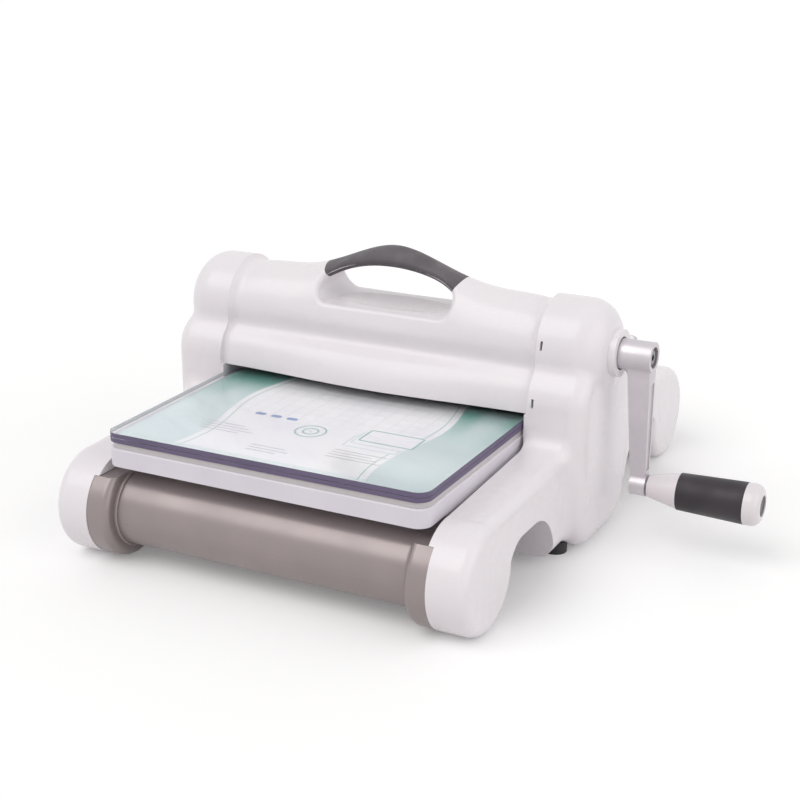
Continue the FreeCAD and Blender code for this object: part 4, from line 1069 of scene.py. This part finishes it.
@dataclass
class Platform(SubAssembly):
    """Board, printed sheet and clear plates, which travel together."""

    solids: Listing = (
        ("board_white", ("platform_base",)),
        ("printed_sheet", ("platform_label",)),
        ("clear_pad", ("lower_cutting_pad", "upper_cutting_pad")),
    )
    corner: float = 9.0 * MM
    skin: float = 0.05 * MM
    edge_ease: float = 0.1 * MM
    corner_points: int = 9
    section_points: int = 16
    side_power: float = 0.3
    rise_power: float = 0.7

    def build(self) -> None:
        """Adds the tinted, sawn skin round the edge of each clear plate."""
        for name, node in (("lower_pad_edge", "lower_cutting_pad"),
                           ("upper_pad_edge", "upper_cutting_pad")):
            self._edge(name, node)

    def _edge(self, name: str, node: str) -> None:
        """A thin closed band: its path is the plate's outline, four quarter circles joined by
        straight runs, and its section is a tall flat oval, a cosine across and a sine up, both
        raised to small powers so that it stays square.

        Args:
            name: The piece's name.
            node: The plate that it lies on.
        """
        low, high = (np.array(corner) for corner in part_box(node))
        middle, half = (low + high) / 2, (high - low) / 2
        quarter, right_angle = np.arange(4), np.pi / 2
        arc = np.linspace(0.0, right_angle, self.corner_points)
        turn = (quarter[:, None] * right_angle + arc).ravel()[:, None]
        centre = (np.repeat(quarter, self.corner_points)[:, None] + 0.5) * right_angle
        run = half[:2] - self.corner
        section = np.linspace(0.0, 2 * np.pi, self.section_points, endpoint=False)
        across, up = np.cos(section), np.sin(section)
        out = self.corner + self.skin * np.sign(across) * np.abs(across) ** self.side_power
        rise = (half[2] - self.edge_ease) * np.sign(up) * np.abs(up) ** self.rise_power
        points = np.stack(np.broadcast_arrays(
            middle[0] + run[0] * np.sign(np.cos(centre)) + out * np.cos(turn),
            middle[1] + run[1] * np.sign(np.sin(centre)) + out * np.sin(turn),
            middle[2] + rise[None, :]), axis=-1)
        Surface.grid(name, points, Join.RING, Body.PLATFORM, "clear_pad", self.finishes, "pad_edge")


@dataclass
class Crank(SubAssembly):
    """Cast crank with its shaft and screw."""

    solids: Listing = (
        ("cast_crank", ("crank_arm",)),
        ("bright_steel", ("crank_shaft", "knob_spindle")),
        ("gear_steel", ("crank_pinion",)),
        ("fastener", ("crank_screw", "crank_washer", "crank_shaft_clip")),
    )


@dataclass
class Knob(SubAssembly):
    """Hand knob: white ends and a dark sleeve."""

    solids: Listing = (
        ("knob_white", ("knob_core", "knob_end_cap")),
        ("knob_rubber", ("knob_sleeve",)),
        ("dark_plug", ("knob_plug",)),
    )


@dataclass
class Drive(SubAssembly):
    """Rollers, gears, bushes, plates and bars inside the case."""

    solids: Listing = (
        ("plate_steel", ("left_side_plate", "right_side_plate")),
        ("bright_steel", ("upper_tie_bars", "lower_tie_bars", "upper_roller", "lower_roller")),
        ("fastener", ("tie_bar_nuts", "housing_screws", "upper_roller_clips",
                      "lower_roller_clips")),
        ("bronze", ("upper_left_bush", "upper_right_bush", "lower_left_bush", "lower_right_bush",
                    "crank_inner_bush", "crank_outer_bush")),
        ("gear_steel", ("drive_gear", "upper_sync_gear", "lower_sync_gear")),
    )


@dataclass(frozen=True)
class Lamp:
    """A wide, distant light: its spread in degrees, and the direction in which it shines."""

    name: str
    strength: float
    spread: float
    direction: Triple
    colour: Rgb = (1.0, 0.993, 0.988)

    def build(self) -> None:
        """Adds the light to the scene."""
        data = bpy.data.lights.new(self.name, "SUN")
        data.energy = self.strength
        data.angle = math.radians(self.spread)
        data.color = self.colour
        lamp = bpy.data.objects.new(self.name, data)
        lamp.rotation_euler = Vector(self.direction).to_track_quat("-Z", "Y").to_euler()
        bpy.context.scene.collection.objects.link(lamp)


@dataclass
class Studio:
    """Pale floor, soft light, white surroundings and the camera.

    The key lamp shines from the upper left front, and the wider fill lamp from the right.
    """

    eye: Triple = (0.4208, -0.9144, 0.4310)
    aim: Triple = (-0.05076, 0.0, 0.07245)
    lens: float = 70.12
    sensor: float = 36.0
    far: float = 60.0
    floor_half: float = 14.0
    floor_seen: Rgb = (0.97, 0.97, 0.97)
    floor_soft: float = 0.99  # how much of that the floor's faint clouds leave
    floor_clouds: float = 1.5
    floor_colour: Rgb = (0.78, 0.765, 0.775)
    floor_rough: float = 0.9
    floor_lift: float = 0.14
    sky: float = 0.62
    sky_colour: Rgb = (1.0, 0.995, 0.99)
    lamps: tuple[Lamp, ...] = (Lamp("key", 0.9, 45.0, (0.35, 0.6, -0.85)),
                               Lamp("fill", 0.9, 70.0, (-0.95, 0.05, -0.2)))

    WHITE = (1.0, 1.0, 1.0, 1.0)

    def build(self) -> None:
        """Sets up the whole studio."""
        self._floor()
        self._surroundings()
        for lamp in self.lamps:
            lamp.build()
        self._camera()
        bpy.context.scene.view_settings.view_transform = "Standard"

    @staticmethod
    def _seen(wires: Wiring) -> Socket:
        """Picks out the rays by which the camera, metal and glass see the surroundings.

        Args:
            wires: The wiring of the floor or the world.

        Returns:
            1 for those rays and 0 for the rest.
        """
        path = wires.add("ShaderNodeLightPath")
        mirrored = wires.math("MAXIMUM", path.outputs["Is Glossy Ray"],
                              path.outputs["Is Transmission Ray"])
        return wires.math("MAXIMUM", path.outputs["Is Camera Ray"], mirrored)

    def _floor(self) -> None:
        """A wide, plain, matt floor, which is seen as white and keeps the shadow."""
        half = self.floor_half
        mesh = bpy.data.meshes.new("floor")
        mesh.from_pydata([(-half, -half, 0), (half, -half, 0), (half, half, 0), (-half, half, 0)],
                         [], [(0, 1, 2, 3)])
        floor = bpy.data.objects.new("floor", mesh)
        bpy.context.scene.collection.objects.link(floor)
        material = bpy.data.materials.new("studio_floor")
        material.use_nodes = True
        wires = Wiring(material.node_tree)
        surface = material.node_tree.nodes["Principled BSDF"]
        place = wires.add("ShaderNodeTexCoord").outputs["Object"]
        soft = tuple(self.floor_soft * value for value in self.floor_seen)
        white = wires.mix(wires.cloud(place, self.floor_clouds, detail=3.0), self.floor_seen, soft)
        seen = self._seen(wires)
        wires.fill(surface, {
            "Specular IOR Level": 0.0, "Roughness": self.floor_rough,
            "Base Color": wires.mix(seen, self.floor_colour, white),
            "Emission Color": self.WHITE, "Emission Strength": wires.times(seen, self.floor_lift)})
        mesh.materials.append(material)

    def _surroundings(self) -> None:
        """Even light all round, which the camera, metal and glass see as white."""
        world = bpy.data.worlds.new("studio")
        world.use_nodes = True
        bpy.context.scene.world = world
        wires = Wiring(world.node_tree)
        lit = wires.fill(world.node_tree.nodes["Background"],
                         {"Color": (*self.sky_colour, 1.0), "Strength": self.sky})
        white = wires.fill(wires.add("ShaderNodeBackground"),
                           {"Color": self.WHITE, "Strength": 1.0})
        blend = wires.add("ShaderNodeMixShader")
        for socket, value in zip(blend.inputs, (self._seen(wires), lit[0], white[0])):
            wires.feed(socket, value)
        wires.feed(world.node_tree.nodes["World Output"].inputs["Surface"], blend.outputs[0])

    def _camera(self) -> None:
        """The camera at the picture's viewing angle."""
        data = bpy.data.cameras.new("camera")
        data.lens = self.lens
        data.sensor_width = self.sensor
        data.clip_end = self.far
        camera = bpy.data.objects.new("camera", data)
        camera.location = self.eye
        sight = Vector(self.aim) - Vector(self.eye)
        camera.rotation_euler = sight.to_track_quat("-Z", "Y").to_euler()
        bpy.context.scene.collection.objects.link(camera)
        bpy.context.scene.camera = camera


def main() -> None:
    """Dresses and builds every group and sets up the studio."""
    logging.basicConfig(level=logging.INFO, format="%(message)s")
    finishes = Finishes(Effects())
    for kind in (Case, Tubes, Platform, Crank, Knob, Drive):
        group = kind(finishes)
        group.dress()
        group.build()
    Studio().build()
    bpy.context.view_layer.update()


if __name__ == "__main__":
    main()
